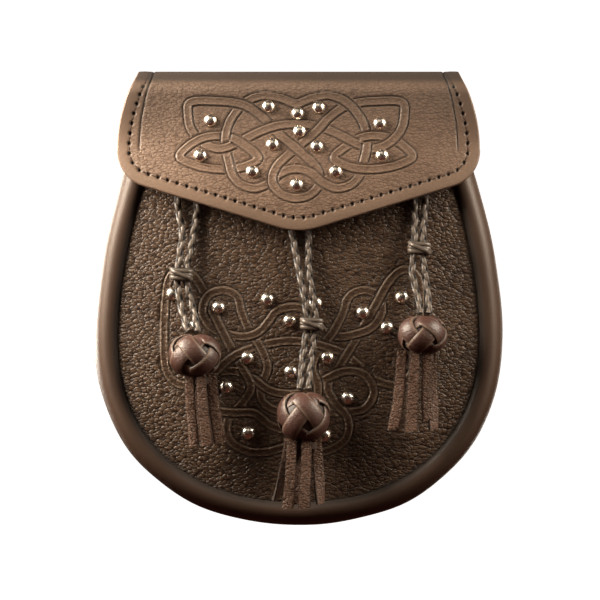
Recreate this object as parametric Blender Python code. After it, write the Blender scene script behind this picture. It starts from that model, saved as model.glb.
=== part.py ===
"""A leather sporran pouch with a studded front, a folded flap and three hanging tassels.

Metres, +Z up. The front faces -Y and +X is on the viewer's right. The origin is the middle of the
strap passage behind the pouch, where the belt strap that carries it runs.
"""

import math

import bmesh
import bpy
import numpy as np
from mathutils import Matrix, Vector
from mathutils.bvhtree import BVHTree

# Small clearances between pieces that touch on the real object
TOUCH_GAP = 0.0003
EASE_GAP = 0.0006

# Body
BODY_WIDTH = 0.1783
BODY_HEIGHT = 0.1990
WIDEST_RISE = 0.0827
MOUTH_WIDTH = 0.1260
MOUTH_DROP = 0.0090
LOWER_ROUNDNESS = 2.2
UPPER_TAPER = 1.8
DEPTH_AT_BOTTOM = 0.0360
DEPTH_AT_MOUTH = 0.0250
GUSSET_THICKNESS = 0.0016
RIM_WIDTH = 0.0088
RIDGE_INSET = 0.0026
SEAM_VALLEY = 0.0012
SEAM_TURN_IN = 0.0060
MOUTH_TURN_IN = 0.0028
SIDE_FULLNESS = 2.4
RIDGE_FOOT_IN = 0.28
RIDGE_FOOT_RISE = 0.32

# Front and back panels
PANEL_THICKNESS = 0.0020
PANEL_DOME = 0.0060
DOME_LEFT_AT_MOUTH = 0.40
EDGE_ROUND = 0.0014
BACK_THICKNESS = 0.0022

# Strap passage and its two leather loops
STRAP_DROP = 0.0580
PASSAGE_HEIGHT = 0.0280
PASSAGE_DEPTH = 0.0060
LOOP_WIDTH = 0.0160
LOOP_THICKNESS = 0.0020
LOOP_FOOT = 0.0090
LOOP_SPACING = 0.0760
LOOP_CORNER = 0.0020
LOOP_CORNER_CUT = 0.3

# Flap
FLAP_THICKNESS = 0.0030
FLAP_DROP = 0.0702
FLAP_LAP = 0.0220
FLAP_SET_IN = 0.0095
FLAP_TOP_SET_IN = 0.0087
FLAP_SIDE_DROP = 0.0350
FLAP_CORNER_RADIUS = 0.0170
FLAP_TIP_RADIUS = 0.0300
FLAP_EDGE_SLOPE = math.radians(17.1)
FOLD_HEIGHT = 0.0110
FOLD_CLEARANCE = 0.0012
FLAP_CROWN = 0.0040
FLAP_CROWN_POWER = 2.4
FLAP_LIE = 1.4
FLAP_STAND_OFF = 0.0042

# Catch that holds the flap shut
CATCH_DIAMETER = 0.0120
CATCH_DROP = 0.0500
CATCH_CLEARANCE = 0.0024

# Studs
STUD_DIAMETER = 0.0056
STUD_HEIGHT = 0.0022
STUD_GAP = 0.00045
STUD_PROFILE = (
    # share of the radius, share of the height
    (1.0, 0.0),
    (0.97, 0.30),
    (0.62, 0.80),
)

# Tassels
CORD_DIAMETER = 0.0026
TAB_HEIGHT = 0.0070
TAB_THICKNESS = 0.0016
TAB_MARGIN = 0.0012
KNOT_WALL = 0.0017
KNOT_LENGTH = 0.0064
KNOT_EASE = 0.0009
KNOT_SQUARENESS = 3.4
KNOT_PROFILE = (
    # share of the wall, share of the length
    (0.0, -0.5),
    (0.75, -0.5),
    (1.0, -0.2),
    (1.0, 0.2),
    (0.75, 0.5),
    (0.0, 0.5),
)
HEAD_WIDTH = 0.0228
HEAD_DEPTH = 0.0200
HEAD_HEIGHT = 0.0182
HEAD_POLE = 0.0375
HEAD_GAP = 0.0011
STRIP_WIDTH = 0.0056
STRIP_THICKNESS = 0.0013
STRIP_LENGTH = 0.0290
STRIP_BEND = 1.6
STRIP_HEAD_SHARE = 0.80
TASSEL_CORE = 0.0030
TASSEL_CORE_TAPER = 0.94

# Mesh fineness
OUTLINE_STEPS = 40
MOUTH_STEPS = 10
DENSE_STEPS = 400
FOLD_STEPS = 8
FLAP_ROWS = 8
FLAP_COLUMNS = 9
FLAP_COLUMN_POWER = 0.9
GUSSET_STEPS = 10
PANEL_RINGS = (0.30, 0.58, 0.82)
STUD_SIDES = 10
CATCH_SIDES = 16
KNOT_SIDES = 12
HEAD_SIDES = 14
HEAD_RINGS = 9
CORE_SIDES = 12
STRIP_STEPS = 5
ROUTE_STEPS = 20
CORD_BEVEL_STEPS = 2
SHEET_SMOOTH = 50
PIECE_SMOOTH = 60
CATCH_SMOOTH = 40

# Stud places on the flap, as shares of half its width and of its drop
FLAP_STUDS = (
    # across, down
    (-0.165, 0.230),
    (-0.005, 0.273),
    (0.110, 0.236),
    (-0.483, 0.318),
    (0.005, 0.386),
    (0.445, 0.336),
    (-0.143, 0.467),
    (0.099, 0.480),
    (-0.538, 0.536),
    (0.456, 0.536),
    (-0.253, 0.636),
    (-0.011, 0.717),
    (0.203, 0.636),
)

# Stud places on the front panel, as shares of half the body's width and of its height
PANEL_STUDS = (
    # across, down
    (-0.152, 0.504),
    (0.083, 0.513),
    (-0.044, 0.551),
    (0.314, 0.533),
    (0.505, 0.500),
    (0.432, 0.566),
    (-0.618, 0.493),
    (-0.392, 0.522),
    (-0.250, 0.632),
    (-0.039, 0.663),
    (0.142, 0.632),
    (0.240, 0.720),
    (-0.353, 0.696),
    (-0.245, 0.797),
    (0.127, 0.802),
    (-0.540, 0.562),
)

# How far below the fold's top each pair of cords starts. The centre pair's tab is below the catch.
LEFT_START = 0.0528
CENTRE_START = CATCH_DROP + CATCH_DIAMETER / 2 + CATCH_CLEARANCE + TAB_HEIGHT + EASE_GAP
RIGHT_START = 0.0500

# The route of each tassel's pair of cords, from its tab under the flap to the knotted head.
# Across is metres from the middle, and below is metres below the cords' start. Lift is the
# standing off from the front panel, and spread is half the cords' spacing, both in cord diameters.
LEFT_ROUTE = (
    # across, below, lift, spread
    (-0.0489, 0.0000, 0.78, 1.50),
    (-0.0486, 0.0047, 0.78, 1.62),
    (-0.0484, 0.0094, 0.85, 1.55),
    (-0.0483, 0.0186, 1.15, 0.95),
    (-0.0493, 0.0260, 1.55, 0.86),
    (-0.0503, 0.0317, 1.80, 0.74),
    (-0.0511, 0.0365, 1.90, 0.74),
    (-0.0505, 0.0418, 2.00, 0.80),
    (-0.0488, 0.0500, 2.20, 0.96),
    (-0.0470, 0.0566, 3.20, 0.92),
    (-0.0458, 0.0612, 4.10, 0.80),
)
CENTRE_ROUTE = (
    (0.0002, 0.0000, 0.80, 1.30),
    (0.0005, 0.0040, 0.80, 1.36),
    (0.0011, 0.0084, 0.80, 1.30),
    (0.0019, 0.0180, 1.10, 0.92),
    (0.0032, 0.0268, 1.55, 0.78),
    (0.0046, 0.0340, 1.75, 0.74),
    (0.0057, 0.0448, 1.75, 0.74),
    (0.0046, 0.0530, 1.80, 0.74),
    (0.0036, 0.0610, 2.30, 0.74),
    (0.0029, 0.0680, 3.30, 0.74),
    (0.0025, 0.0728, 4.10, 0.74),
)
RIGHT_ROUTE = (
    (0.0531, 0.0000, 0.78, 0.96),
    (0.0531, 0.0060, 0.82, 0.92),
    (0.0528, 0.0152, 1.25, 0.80),
    (0.0525, 0.0210, 1.70, 0.74),
    (0.0526, 0.0277, 1.90, 0.74),
    (0.0521, 0.0330, 2.00, 0.84),
    (0.0523, 0.0384, 2.15, 1.08),
    (0.0534, 0.0455, 2.50, 0.96),
    (0.0545, 0.0518, 3.40, 0.76),
    (0.0547, 0.0562, 4.10, 0.76),
)

# The strips that hang from each head. Across is the strip's middle, in strip widths, at the head
# and at the end. Forward is its standing forward of the head's middle, in strip thicknesses.
# Width is in STRIP_WIDTH, at the end, turn is the strip's twist there in degrees, and length is a
# share of STRIP_LENGTH.
LEFT_STRIPS = (
    # across at head, across at end, forward at head, forward at end, width, turn, length
    (-0.40, -0.07, 2.2, 1.8, 0.82, -12, 1.00),
    (0.52, 0.95, 3.0, 2.9, 0.95, 0, 0.98),
    (1.34, 1.96, 1.7, 1.0, 1.06, 14, 0.95),
    (0.00, 0.32, -1.7, -2.2, 1.00, 0, 0.93),
    (0.95, 1.38, -1.9, -2.4, 1.00, 0, 0.91),
)
CENTRE_STRIPS = (
    (-0.91, -1.23, 2.8, 2.9, 1.00, -4, 0.95),
    (0.22, 0.07, 2.9, 3.1, 1.00, 4, 0.94),
    (1.05, 1.36, 1.0, 0.6, 1.00, 58, 0.88),
    (-1.15, -2.20, -0.6, -1.2, 0.80, 62, 0.83),
    (-0.10, -0.45, -1.9, -2.3, 1.00, 0, 0.90),
)
RIGHT_STRIPS = (
    (-1.62, -2.25, 2.1, 2.1, 1.06, -8, 1.08),
    (-0.64, -0.95, 2.9, 3.2, 1.08, 0, 1.12),
    (0.30, 0.36, 2.0, 1.2, 0.90, 20, 0.95),
    (0.72, 0.82, -0.4, -0.6, 1.00, 48, 1.10),
    (-0.60, -0.90, -1.9, -2.3, 1.00, 0, 1.00),
)

# Each tassel: its cords' start and route, the route's row that the slide knot sits on, the head's
# share of HEAD_WIDTH and of HEAD_HEIGHT, how far the head leans aside from its cords, and its strips
TASSELS = {
    # name: start, route, knot row, width share, height share, aside, strips
    "left": (LEFT_START, LEFT_ROUTE, 6, 1.02, 1.00, 0.0009, LEFT_STRIPS),
    "centre": (CENTRE_START, CENTRE_ROUTE, 6, 1.03, 1.18, -0.0003, CENTRE_STRIPS),
    "right": (RIGHT_START, RIGHT_ROUTE, 4, 0.95, 0.885, -0.0009, RIGHT_STRIPS),
}

TOP_Z = STRAP_DROP
BOTTOM_Z = TOP_Z - BODY_HEIGHT
WIDEST_Z = BOTTOM_Z + WIDEST_RISE
MOUTH_Z = TOP_Z - MOUTH_DROP
BACK_FACE = -PASSAGE_DEPTH / 2
HALF_WIDTH = BODY_WIDTH / 2
FLAP_WIDTH = BODY_WIDTH - 2 * FLAP_SET_IN
FLAP_TOP_WIDTH = FLAP_WIDTH - 2 * FLAP_TOP_SET_IN


def remove_everything():
    for old in list(bpy.data.objects):
        bpy.data.objects.remove(old)


def make_material(name, colour, roughness, metallic=0.0):
    """A Principled material of one colour, given as linear red, green and blue."""
    material = bpy.data.materials.new(name)
    material.use_nodes = True
    shader = material.node_tree.nodes["Principled BSDF"]
    shader.inputs["Base Color"].default_value = (*colour, 1.0)
    shader.inputs["Roughness"].default_value = roughness
    shader.inputs["Metallic"].default_value = metallic
    material.diffuse_color = (*colour, 1.0)
    return material


def add_object(name, bm, material, smooth_degrees=None):
    """Links a new object that holds the bmesh, with its faces pointing outward where it is closed."""
    mesh = bpy.data.meshes.new(name)
    bm.to_mesh(mesh)
    bm.free()
    if smooth_degrees is not None:
        mesh.shade_smooth()
        mesh.set_sharp_from_angle(angle=math.radians(smooth_degrees))
    obj = bpy.data.objects.new(name, mesh)
    obj.data.materials.append(material)
    bpy.context.scene.collection.objects.link(obj)
    return obj


def thicken(obj, thickness):
    """Gives a sheet its leather wall, behind the side that its normals face."""
    solidify = obj.modifiers.new("Wall", "SOLIDIFY")
    solidify.thickness = thickness
    solidify.offset = -1.0
    solidify.use_even_offset = True
    return obj


def depth_at(z):
    """Depth of the pouch from its back face to the front ridge of the gusset."""
    share = (MOUTH_Z - z) / (MOUTH_Z - BOTTOM_Z)
    return DEPTH_AT_MOUTH + (DEPTH_AT_BOTTOM - DEPTH_AT_MOUTH) * share


def ridge_y(z):
    return BACK_FACE - depth_at(z)


def right_outline():
    """Dense points (x, z) of the right half of the silhouette, from the mouth to the bottom."""
    upper = np.linspace(0.0, 1.0, DENSE_STEPS)
    z_upper = MOUTH_Z + (WIDEST_Z - MOUTH_Z) * upper
    narrowing = (BODY_WIDTH - MOUTH_WIDTH) / 2 * (1 - upper) ** UPPER_TAPER
    x_upper = HALF_WIDTH - narrowing
    turn = np.linspace(0.0, math.pi / 2, DENSE_STEPS)[1:]
    x_lower = HALF_WIDTH * np.clip(np.cos(turn), 0, 1) ** (2 / LOWER_ROUNDNESS)
    z_lower = WIDEST_Z - WIDEST_RISE * np.sin(turn) ** (2 / LOWER_ROUNDNESS)
    x_lower[-1] = 0.0
    return np.column_stack([np.append(x_upper, x_lower), np.append(z_upper, z_lower)])


def body_outline():
    """Evenly spaced silhouette points (x, z), from the left end of the mouth round the bottom to
    the right end, with the unit normal at each that points into the pouch."""
    right = right_outline()
    left = right * np.array([-1.0, 1.0])
    whole = np.vstack([left, right[-2::-1]])
    run = np.append(0.0, np.cumsum(np.linalg.norm(np.diff(whole, axis=0), axis=1)))
    at = np.linspace(0.0, run[-1], OUTLINE_STEPS + 1)
    points = np.column_stack([np.interp(at, run, whole[:, k]) for k in (0, 1)])
    reach = run[-1] / OUTLINE_STEPS / 2
    ahead = np.column_stack([np.interp(at + reach, run, whole[:, k]) for k in (0, 1)])
    behind = np.column_stack([np.interp(at - reach, run, whole[:, k]) for k in (0, 1)])
    tangent = ahead - behind
    tangent /= np.linalg.norm(tangent, axis=1)[:, None]
    normals = np.column_stack([-tangent[:, 1], tangent[:, 0]])
    return points, normals


def half_width_at(z):
    """Half the silhouette's width at a height."""
    if z >= WIDEST_Z:
        share = (z - WIDEST_Z) / (MOUTH_Z - WIDEST_Z)
        return HALF_WIDTH - (BODY_WIDTH - MOUTH_WIDTH) / 2 * share**UPPER_TAPER
    share = min(1.0, (WIDEST_Z - z) / WIDEST_RISE)
    return HALF_WIDTH * (1 - share**LOWER_ROUNDNESS) ** (1 / LOWER_ROUNDNESS)


def dome_share(x, z):
    """1 at the crown of the front panel and 0 at its seam."""
    inset = RIM_WIDTH + TOUCH_GAP
    if z >= WIDEST_Z:
        across = abs(x) / (half_width_at(z) - inset)
        fall = (z - WIDEST_Z) / (MOUTH_Z - WIDEST_Z)
        left_over = 1 - (1 - DOME_LEFT_AT_MOUTH) * fall**2
        return max(0.0, 1 - across**LOWER_ROUNDNESS) * left_over
    across = abs(x) / (HALF_WIDTH - inset)
    down = (WIDEST_Z - z) / (WIDEST_RISE - inset)
    return max(0.0, 1 - across**LOWER_ROUNDNESS - down**LOWER_ROUNDNESS)


def panel_y(x, z):
    """The front panel's outer face."""
    return ridge_y(z) + SEAM_VALLEY - PANEL_DOME * dome_share(x, z)


def gusset_section(z):
    """The gusset's outer line as (inward, y) pairs, from the front seam to the back seam."""
    front = ridge_y(z)
    back = BACK_FACE
    valley = front + SEAM_VALLEY
    ridge_in = RIM_WIDTH - RIDGE_INSET
    section = [
        (RIM_WIDTH, valley + SEAM_TURN_IN),
        (RIM_WIDTH, valley + EDGE_ROUND / 2),
        (RIM_WIDTH - RIDGE_INSET * RIDGE_FOOT_IN, front + SEAM_VALLEY * RIDGE_FOOT_RISE),
    ]
    middle = (front + back) / 2
    half = (back - front) / 2
    for step in range(GUSSET_STEPS + 1):
        turn = -math.pi / 2 + math.pi * step / GUSSET_STEPS
        flat = math.cos(turn) if 0 < step < GUSSET_STEPS else 0.0
        inward = ridge_in * (1 - flat ** (2 / SIDE_FULLNESS))
        along = math.copysign(abs(math.sin(turn)) ** (2 / SIDE_FULLNESS), math.sin(turn))
        section.append((inward, middle + half * along))
    section += [
        (RIM_WIDTH - EDGE_ROUND / 4, back),
        (RIM_WIDTH, back - EDGE_ROUND / 2),
        (RIM_WIDTH, back - BACK_THICKNESS - SEAM_TURN_IN / 2),
    ]
    return section


def make_gusset(leather):
    """The side wall, bulging between its front and back seams, from mouth to mouth."""
    points, normals = body_outline()
    bm = bmesh.new()
    rows = []
    for (x, z), (nx, nz) in zip(points, normals):
        section = gusset_section(z)
        rows.append([bm.verts.new((x + nx * n, y, z + nz * n)) for n, y in section])
    for low, high in zip(rows, rows[1:]):
        for k in range(len(low) - 1):
            bm.faces.new((low[k], low[k + 1], high[k + 1], high[k]))
    point_away(bm, Vector((0, (BACK_FACE - DEPTH_AT_BOTTOM) / 2, WIDEST_Z)))
    return thicken(add_object("gusset", bm, leather, SHEET_SMOOTH), GUSSET_THICKNESS)


def point_away(bm, centre):
    """Turns a sheet's faces so that, on the whole, they look away from a point."""
    bmesh.ops.recalc_face_normals(bm, faces=bm.faces)
    bm.normal_update()
    outward = sum(f.calc_area() * f.normal.dot(f.calc_center_median() - centre) for f in bm.faces)
    if outward < 0:
        bmesh.ops.reverse_faces(bm, faces=bm.faces)


def panel_loop(inset):
    """The seam line of a panel as (x, z) points: round the bottom, then back along the mouth."""
    points, normals = body_outline()
    seam = points + normals * inset
    left, right = seam[0], seam[-1]
    shares = np.linspace(0.0, 1.0, MOUTH_STEPS + 1)[1:-1, None]
    return np.vstack([seam, right + (left - right) * shares])


def make_front_panel(leather):
    """The domed front, with its edge turned in at the seam and at the mouth."""
    loop = panel_loop(RIM_WIDTH + TOUCH_GAP)
    centre = np.array([0.0, (loop[:, 1].max() + loop[:, 1].min()) / 2])
    bm = bmesh.new()
    rings = []
    shoulder = 1 - EDGE_ROUND / (HALF_WIDTH - RIM_WIDTH)
    for share in (*PANEL_RINGS, shoulder):
        flat = centre + (loop - centre) * share
        rings.append([bm.verts.new((x, panel_y(x, z), z)) for x, z in flat])
    rings.append([bm.verts.new((x, panel_y(x, z) + EDGE_ROUND / 2, z)) for x, z in loop])
    turned_in = [SEAM_TURN_IN] * (OUTLINE_STEPS + 1) + [MOUTH_TURN_IN] * (MOUTH_STEPS - 1)
    rings.append([bm.verts.new((x, panel_y(x, z) + t, z)) for (x, z), t in zip(loop, turned_in)])
    crown = bm.verts.new((centre[0], panel_y(*centre), centre[1]))
    count = len(loop)
    for k in range(count):
        bm.faces.new((crown, rings[0][k], rings[0][(k + 1) % count]))
    for inner, outer in zip(rings, rings[1:]):
        for k in range(count):
            after = (k + 1) % count
            bm.faces.new((inner[k], outer[k], outer[after], inner[after]))
    point_away(bm, Vector((0, BACK_FACE, centre[1])))
    return thicken(add_object("front_panel", bm, leather, SHEET_SMOOTH), PANEL_THICKNESS)


def make_back_panel(leather):
    """The flat back, inside the gusset's back seam."""
    loop = panel_loop(RIM_WIDTH + TOUCH_GAP)
    bm = bmesh.new()
    bm.faces.new([bm.verts.new((x, BACK_FACE, z)) for x, z in loop])
    point_away(bm, Vector((0, BACK_FACE - DEPTH_AT_BOTTOM, WIDEST_Z)))
    return thicken(add_object("back_panel", bm, leather), BACK_THICKNESS)


def flap_half_width(drop):
    """Half the flap's width: it widens from the fold to the start of its rounded corners."""
    share = min(1.0, max(0.0, drop / FLAP_SIDE_DROP))
    swell = math.sin(share * math.pi / 2)
    return (FLAP_TOP_WIDTH + (FLAP_WIDTH - FLAP_TOP_WIDTH) * swell) / 2


def flap_edge_drop(x):
    """How far the flap's lower edge hangs at a place across it: tip arc, slope, corner arc."""
    slope = FLAP_EDGE_SLOPE
    across = abs(x)
    tip_reach = FLAP_TIP_RADIUS * math.sin(slope)
    if across <= tip_reach:
        return FLAP_DROP - FLAP_TIP_RADIUS + math.sqrt(FLAP_TIP_RADIUS**2 - across**2)
    tip_end = FLAP_DROP - FLAP_TIP_RADIUS * (1 - math.cos(slope))
    corner_x = FLAP_WIDTH / 2 - FLAP_CORNER_RADIUS
    corner_reach = corner_x + FLAP_CORNER_RADIUS * math.sin(slope)
    if across <= corner_reach:
        return tip_end - (across - tip_reach) * math.tan(slope)
    line_end = tip_end - (corner_reach - tip_reach) * math.tan(slope)
    corner_centre = line_end - FLAP_CORNER_RADIUS * math.cos(slope)
    out = min(across - corner_x, FLAP_CORNER_RADIUS)
    return corner_centre + math.sqrt(FLAP_CORNER_RADIUS**2 - out**2)


def lap_y():
    """The flap's outer face where it lies on the back panel."""
    return BACK_FACE + TOUCH_GAP + FLAP_THICKNESS


def flap_middle_y(drop):
    """The flap's outer face on the middle line, from the foot of the fold to the tip."""
    start = panel_y(0, MOUTH_Z) - FOLD_CLEARANCE - FLAP_THICKNESS
    end = panel_y(0, TOP_Z - FLAP_DROP) - FLAP_STAND_OFF - FLAP_THICKNESS
    share = (drop - FOLD_HEIGHT) / (FLAP_DROP - FOLD_HEIGHT)
    return start + (end - start) * math.sin(min(1.0, max(0.0, share)) * math.pi / 2) ** FLAP_LIE


def flap_y(x, drop):
    """The flap's outer face in front: its sides curve back over the gusset."""
    share = min(1.0, max(0.0, (drop - FOLD_HEIGHT) / (FLAP_SIDE_DROP - FOLD_HEIGHT)))
    crown = FLAP_CROWN * share * share * (3 - 2 * share)
    return flap_middle_y(drop) + crown * abs(2 * x / FLAP_WIDTH) ** FLAP_CROWN_POWER


def flap_column_shares():
    """Places across half the flap, closer together at the rounded corner."""
    even = np.linspace(0.0, 1.0, FLAP_COLUMNS + 1)
    return np.sin(even * math.pi / 2) ** FLAP_COLUMN_POWER


def make_flap(leather):
    """The flap: a lap sewn to the back panel, the fold over the mouth and the pointed front."""
    half = flap_column_shares()
    across = np.append(-half[:0:-1], half)
    back, front = lap_y(), flap_middle_y(FOLD_HEIGHT)
    bm = bmesh.new()
    columns = []
    for share in across:
        column = [(share * FLAP_TOP_WIDTH / 2, back, TOP_Z - FOLD_HEIGHT - FLAP_LAP)]
        for step in range(FOLD_STEPS + 1):
            turn = math.pi * step / FOLD_STEPS
            y = (back + front) / 2 + (back - front) / 2 * math.cos(turn)
            rise = FOLD_HEIGHT * math.sin(turn)
            in_front = max(0.0, -math.cos(turn))
            width = flap_half_width((FOLD_HEIGHT - rise) * in_front)
            column.append((share * width, y, TOP_Z - FOLD_HEIGHT + rise))
        edge_x = share * FLAP_WIDTH / 2
        end = flap_edge_drop(edge_x)
        for step in range(1, FLAP_ROWS + 1):
            drop = FOLD_HEIGHT + (end - FOLD_HEIGHT) * step / FLAP_ROWS
            x = share * flap_half_width(drop)
            column.append((x, flap_y(x, drop), TOP_Z - drop))
        columns.append([bm.verts.new(point) for point in column])
    for one, two in zip(columns, columns[1:]):
        for k in range(len(one) - 1):
            bm.faces.new((one[k], one[k + 1], two[k + 1], two[k]))
    point_away(bm, Vector((0, (back + front) / 2, TOP_Z - FLAP_SIDE_DROP)))
    return thicken(add_object("flap", bm, leather, SHEET_SMOOTH), FLAP_THICKNESS)


def surface_of(obj):
    """A search tree over an object's evaluated mesh, to seat other pieces on it."""
    graph = bpy.context.evaluated_depsgraph_get()
    evaluated = obj.evaluated_get(graph)
    mesh = evaluated.to_mesh()
    tree = BVHTree.FromPolygons(
        [obj.matrix_world @ v.co for v in mesh.vertices], [tuple(p.vertices) for p in mesh.polygons]
    )
    evaluated.to_mesh_clear()
    return tree


def front_seat(tree, x, z):
    """The foremost point of a surface at a place in the front view, and its outward normal."""
    start = Vector((x, -1.0, z))
    place, normal, _, _ = tree.ray_cast(start, Vector((0, 1, 0)))
    if normal.y > 0:
        normal = -normal
    return place, normal


def make_stud(name, place, normal, metal):
    """A domed stud, standing on a face."""
    radius = STUD_DIAMETER / 2
    bm = bmesh.new()
    rings = []
    for reach, rise in STUD_PROFILE:
        ring = []
        for k in range(STUD_SIDES):
            turn = 2 * math.pi * k / STUD_SIDES
            x, y = radius * reach * math.cos(turn), radius * reach * math.sin(turn)
            ring.append(bm.verts.new((x, y, STUD_HEIGHT * rise)))
        rings.append(ring)
    bm.faces.new(rings[0][::-1])
    crown = bm.verts.new((0, 0, STUD_HEIGHT))
    for k in range(STUD_SIDES):
        after = (k + 1) % STUD_SIDES
        for low, high in zip(rings, rings[1:]):
            bm.faces.new((low[k], low[after], high[after], high[k]))
        bm.faces.new((rings[-1][k], rings[-1][after], crown))
    stud = add_object(name, bm, metal, PIECE_SMOOTH)
    stud.rotation_mode = "QUATERNION"
    stud.rotation_quaternion = normal.to_track_quat("Z", "Y")
    stud.location = place + normal * STUD_GAP
    return stud


def make_studs(flap_tree, panel_tree, metal):
    for number, (across, down) in enumerate(FLAP_STUDS, 1):
        place, normal = front_seat(flap_tree, across * FLAP_WIDTH / 2, TOP_Z - down * FLAP_DROP)
        make_stud(f"flap_stud_{number:02d}", place, normal, metal)
    for number, (across, down) in enumerate(PANEL_STUDS, 1):
        place, normal = front_seat(panel_tree, across * HALF_WIDTH, TOP_Z - down * BODY_HEIGHT)
        make_stud(f"panel_stud_{number:02d}", place, normal, metal)


def make_strap_loop(name, x, leather):
    """A leather strip whose feet lie on the back panel and whose middle stands off it."""
    foot = BACK_FACE + TOUCH_GAP
    raised = PASSAGE_DEPTH / 2
    half = PASSAGE_HEIGHT / 2
    corner = LOOP_CORNER
    inner = [
        (foot, half + LOOP_FOOT),
        (foot, half + corner / 2),
        (foot + corner / 2, half),
        (raised - corner, half),
        (raised - corner * LOOP_CORNER_CUT, half - corner * LOOP_CORNER_CUT),
        (raised, half - corner),
    ]
    inner += [(y, -z) for y, z in inner[::-1]]
    bm = bmesh.new()
    sides = []
    for side in (-LOOP_WIDTH / 2, LOOP_WIDTH / 2):
        sides.append([bm.verts.new((x + side, y, z)) for y, z in inner])
    for k in range(len(inner) - 1):
        bm.faces.new((sides[0][k], sides[1][k], sides[1][k + 1], sides[0][k + 1]))
    bm.normal_update()
    middle = bm.faces[:][len(inner) // 2 - 1]
    if middle.normal.y > 0:
        bmesh.ops.reverse_faces(bm, faces=bm.faces)
    loop = add_object(name, bm, leather)
    return thicken(loop, LOOP_THICKNESS)


def make_catch(flap_tree, panel_tree, metal):
    """The press catch between the front panel and the inside of the flap."""
    z = TOP_Z - CATCH_DROP
    radius = CATCH_DIAMETER / 2
    edges = [(0, z), (radius, z), (-radius, z), (0, z + radius), (0, z - radius)]
    base = min(front_seat(panel_tree, x, at)[0].y for x, at in edges) - TOUCH_GAP
    inside = [flap_tree.ray_cast(Vector((x, base, at)), Vector((0, -1, 0)))[0].y for x, at in edges]
    cover = max(inside) + TOUCH_GAP
    bm = bmesh.new()
    bmesh.ops.create_cone(
        bm, cap_ends=True, segments=CATCH_SIDES, radius1=radius, radius2=radius, depth=base - cover
    )
    bmesh.ops.rotate(bm, verts=bm.verts, matrix=Matrix.Rotation(math.pi / 2, 3, "X"))
    catch = add_object("flap_catch", bm, metal, CATCH_SMOOTH)
    catch.location = (0, (base + cover) / 2, z)


def smooth_route(rows):
    """Points on one smooth curve through the rows, a Catmull-Rom spline, about two diameters apart."""
    rows = np.array(rows, float)
    padded = np.vstack([2 * rows[0] - rows[1], rows, 2 * rows[-1] - rows[-2]])
    dense = []
    for a, b, c, d in zip(padded, padded[1:], padded[2:], padded[3:]):
        for t in np.linspace(0.0, 1.0, ROUTE_STEPS, endpoint=False):
            dense.append(
                0.5 * (2 * b + (c - a) * t + (2 * a - 5 * b + 4 * c - d) * t**2)
                + 0.5 * (3 * b - a - 3 * c + d) * t**3
            )
    dense = np.array(dense + [rows[-1]])
    run = np.append(0.0, np.cumsum(np.linalg.norm(np.diff(dense, axis=0), axis=1)))
    count = max(4, round(run[-1] / (2 * CORD_DIAMETER)))
    at = np.linspace(0.0, run[-1], count + 1)
    return np.column_stack([np.interp(at, run, dense[:, k]) for k in range(3)])


def hung_route(start, route):
    """A route's rows with heights in place of distances below the cords' start."""
    return [(across, TOP_Z - start - below, lift, spread) for across, below, lift, spread in route]


def route_points(route, side):
    """One cord of a pair: side is -1 or 1."""
    points = []
    for across, z, lift, spread in route:
        x = across + side * spread * CORD_DIAMETER
        points.append((x, panel_y(across, z) - lift * CORD_DIAMETER, z))
    return points


def make_cord(name, points, leather):
    """A round cord along a smooth route."""
    curve = bpy.data.curves.new(name, "CURVE")
    curve.dimensions = "3D"
    curve.bevel_depth = CORD_DIAMETER / 2
    curve.bevel_resolution = CORD_BEVEL_STEPS
    curve.use_fill_caps = True
    spline = curve.splines.new("POLY")
    spline.points.add(len(points) - 1)
    for spot, point in zip(spline.points, points):
        spot.co = (*point, 1.0)
    cord = bpy.data.objects.new(name, curve)
    cord.data.materials.append(leather)
    bpy.context.scene.collection.objects.link(cord)


def make_tab(name, route, leather):
    """The tab under the flap that holds the tops of a pair of cords."""
    across, z, _, spread = route[0]
    half = (spread + 0.5) * CORD_DIAMETER + TAB_MARGIN
    near = min(panel_y(across + side * half, z + rise) for side in (-1, 0, 1) for rise in (0, TAB_HEIGHT))
    size = (2 * half, TAB_THICKNESS, TAB_HEIGHT)
    bm = bmesh.new()
    bmesh.ops.create_cube(bm, size=1.0)
    bmesh.ops.scale(bm, vec=size, verts=bm.verts)
    tab = add_object(name, bm, leather)
    tab.location = (across, near - EASE_GAP - TAB_THICKNESS / 2, z + TAB_HEIGHT / 2 + EASE_GAP)


def rounded_square(turn):
    """A point, at a turn, on a square of half size 1 with well rounded corners."""
    across, along = math.cos(turn), math.sin(turn)
    power = 2 / KNOT_SQUARENESS
    return math.copysign(abs(across) ** power, across), math.copysign(abs(along) ** power, along)


def make_slide_knot(name, route, row, leather):
    """The wrapped ring that gathers a pair of cords."""
    across, z, lift, spread = route[row]
    before, after = route[row - 1], route[row + 1]
    lean = math.atan2(before[0] - after[0], before[1] - after[1])
    hole_x = (spread + 0.5) * CORD_DIAMETER + KNOT_EASE
    hole_y = CORD_DIAMETER / 2 + KNOT_EASE
    bm = bmesh.new()
    rings = []
    for wall, rise in KNOT_PROFILE:
        ring = []
        for k in range(KNOT_SIDES):
            across_share, along_share = rounded_square(2 * math.pi * (k + 0.5) / KNOT_SIDES)
            x = (hole_x + wall * KNOT_WALL) * across_share
            y = (hole_y + wall * KNOT_WALL) * along_share
            ring.append(bm.verts.new((x, y, rise * KNOT_LENGTH)))
        rings.append(ring)
    for low, high in zip(rings, rings[1:] + rings[:1]):
        for k in range(KNOT_SIDES):
            after_k = (k + 1) % KNOT_SIDES
            bm.faces.new((low[k], low[after_k], high[after_k], high[k]))
    bmesh.ops.recalc_face_normals(bm, faces=bm.faces)
    knot = add_object(name, bm, leather, PIECE_SMOOTH)
    knot.rotation_euler = (0, lean, 0)
    knot.location = (across, panel_y(across, z) - lift * CORD_DIAMETER, z)


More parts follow.
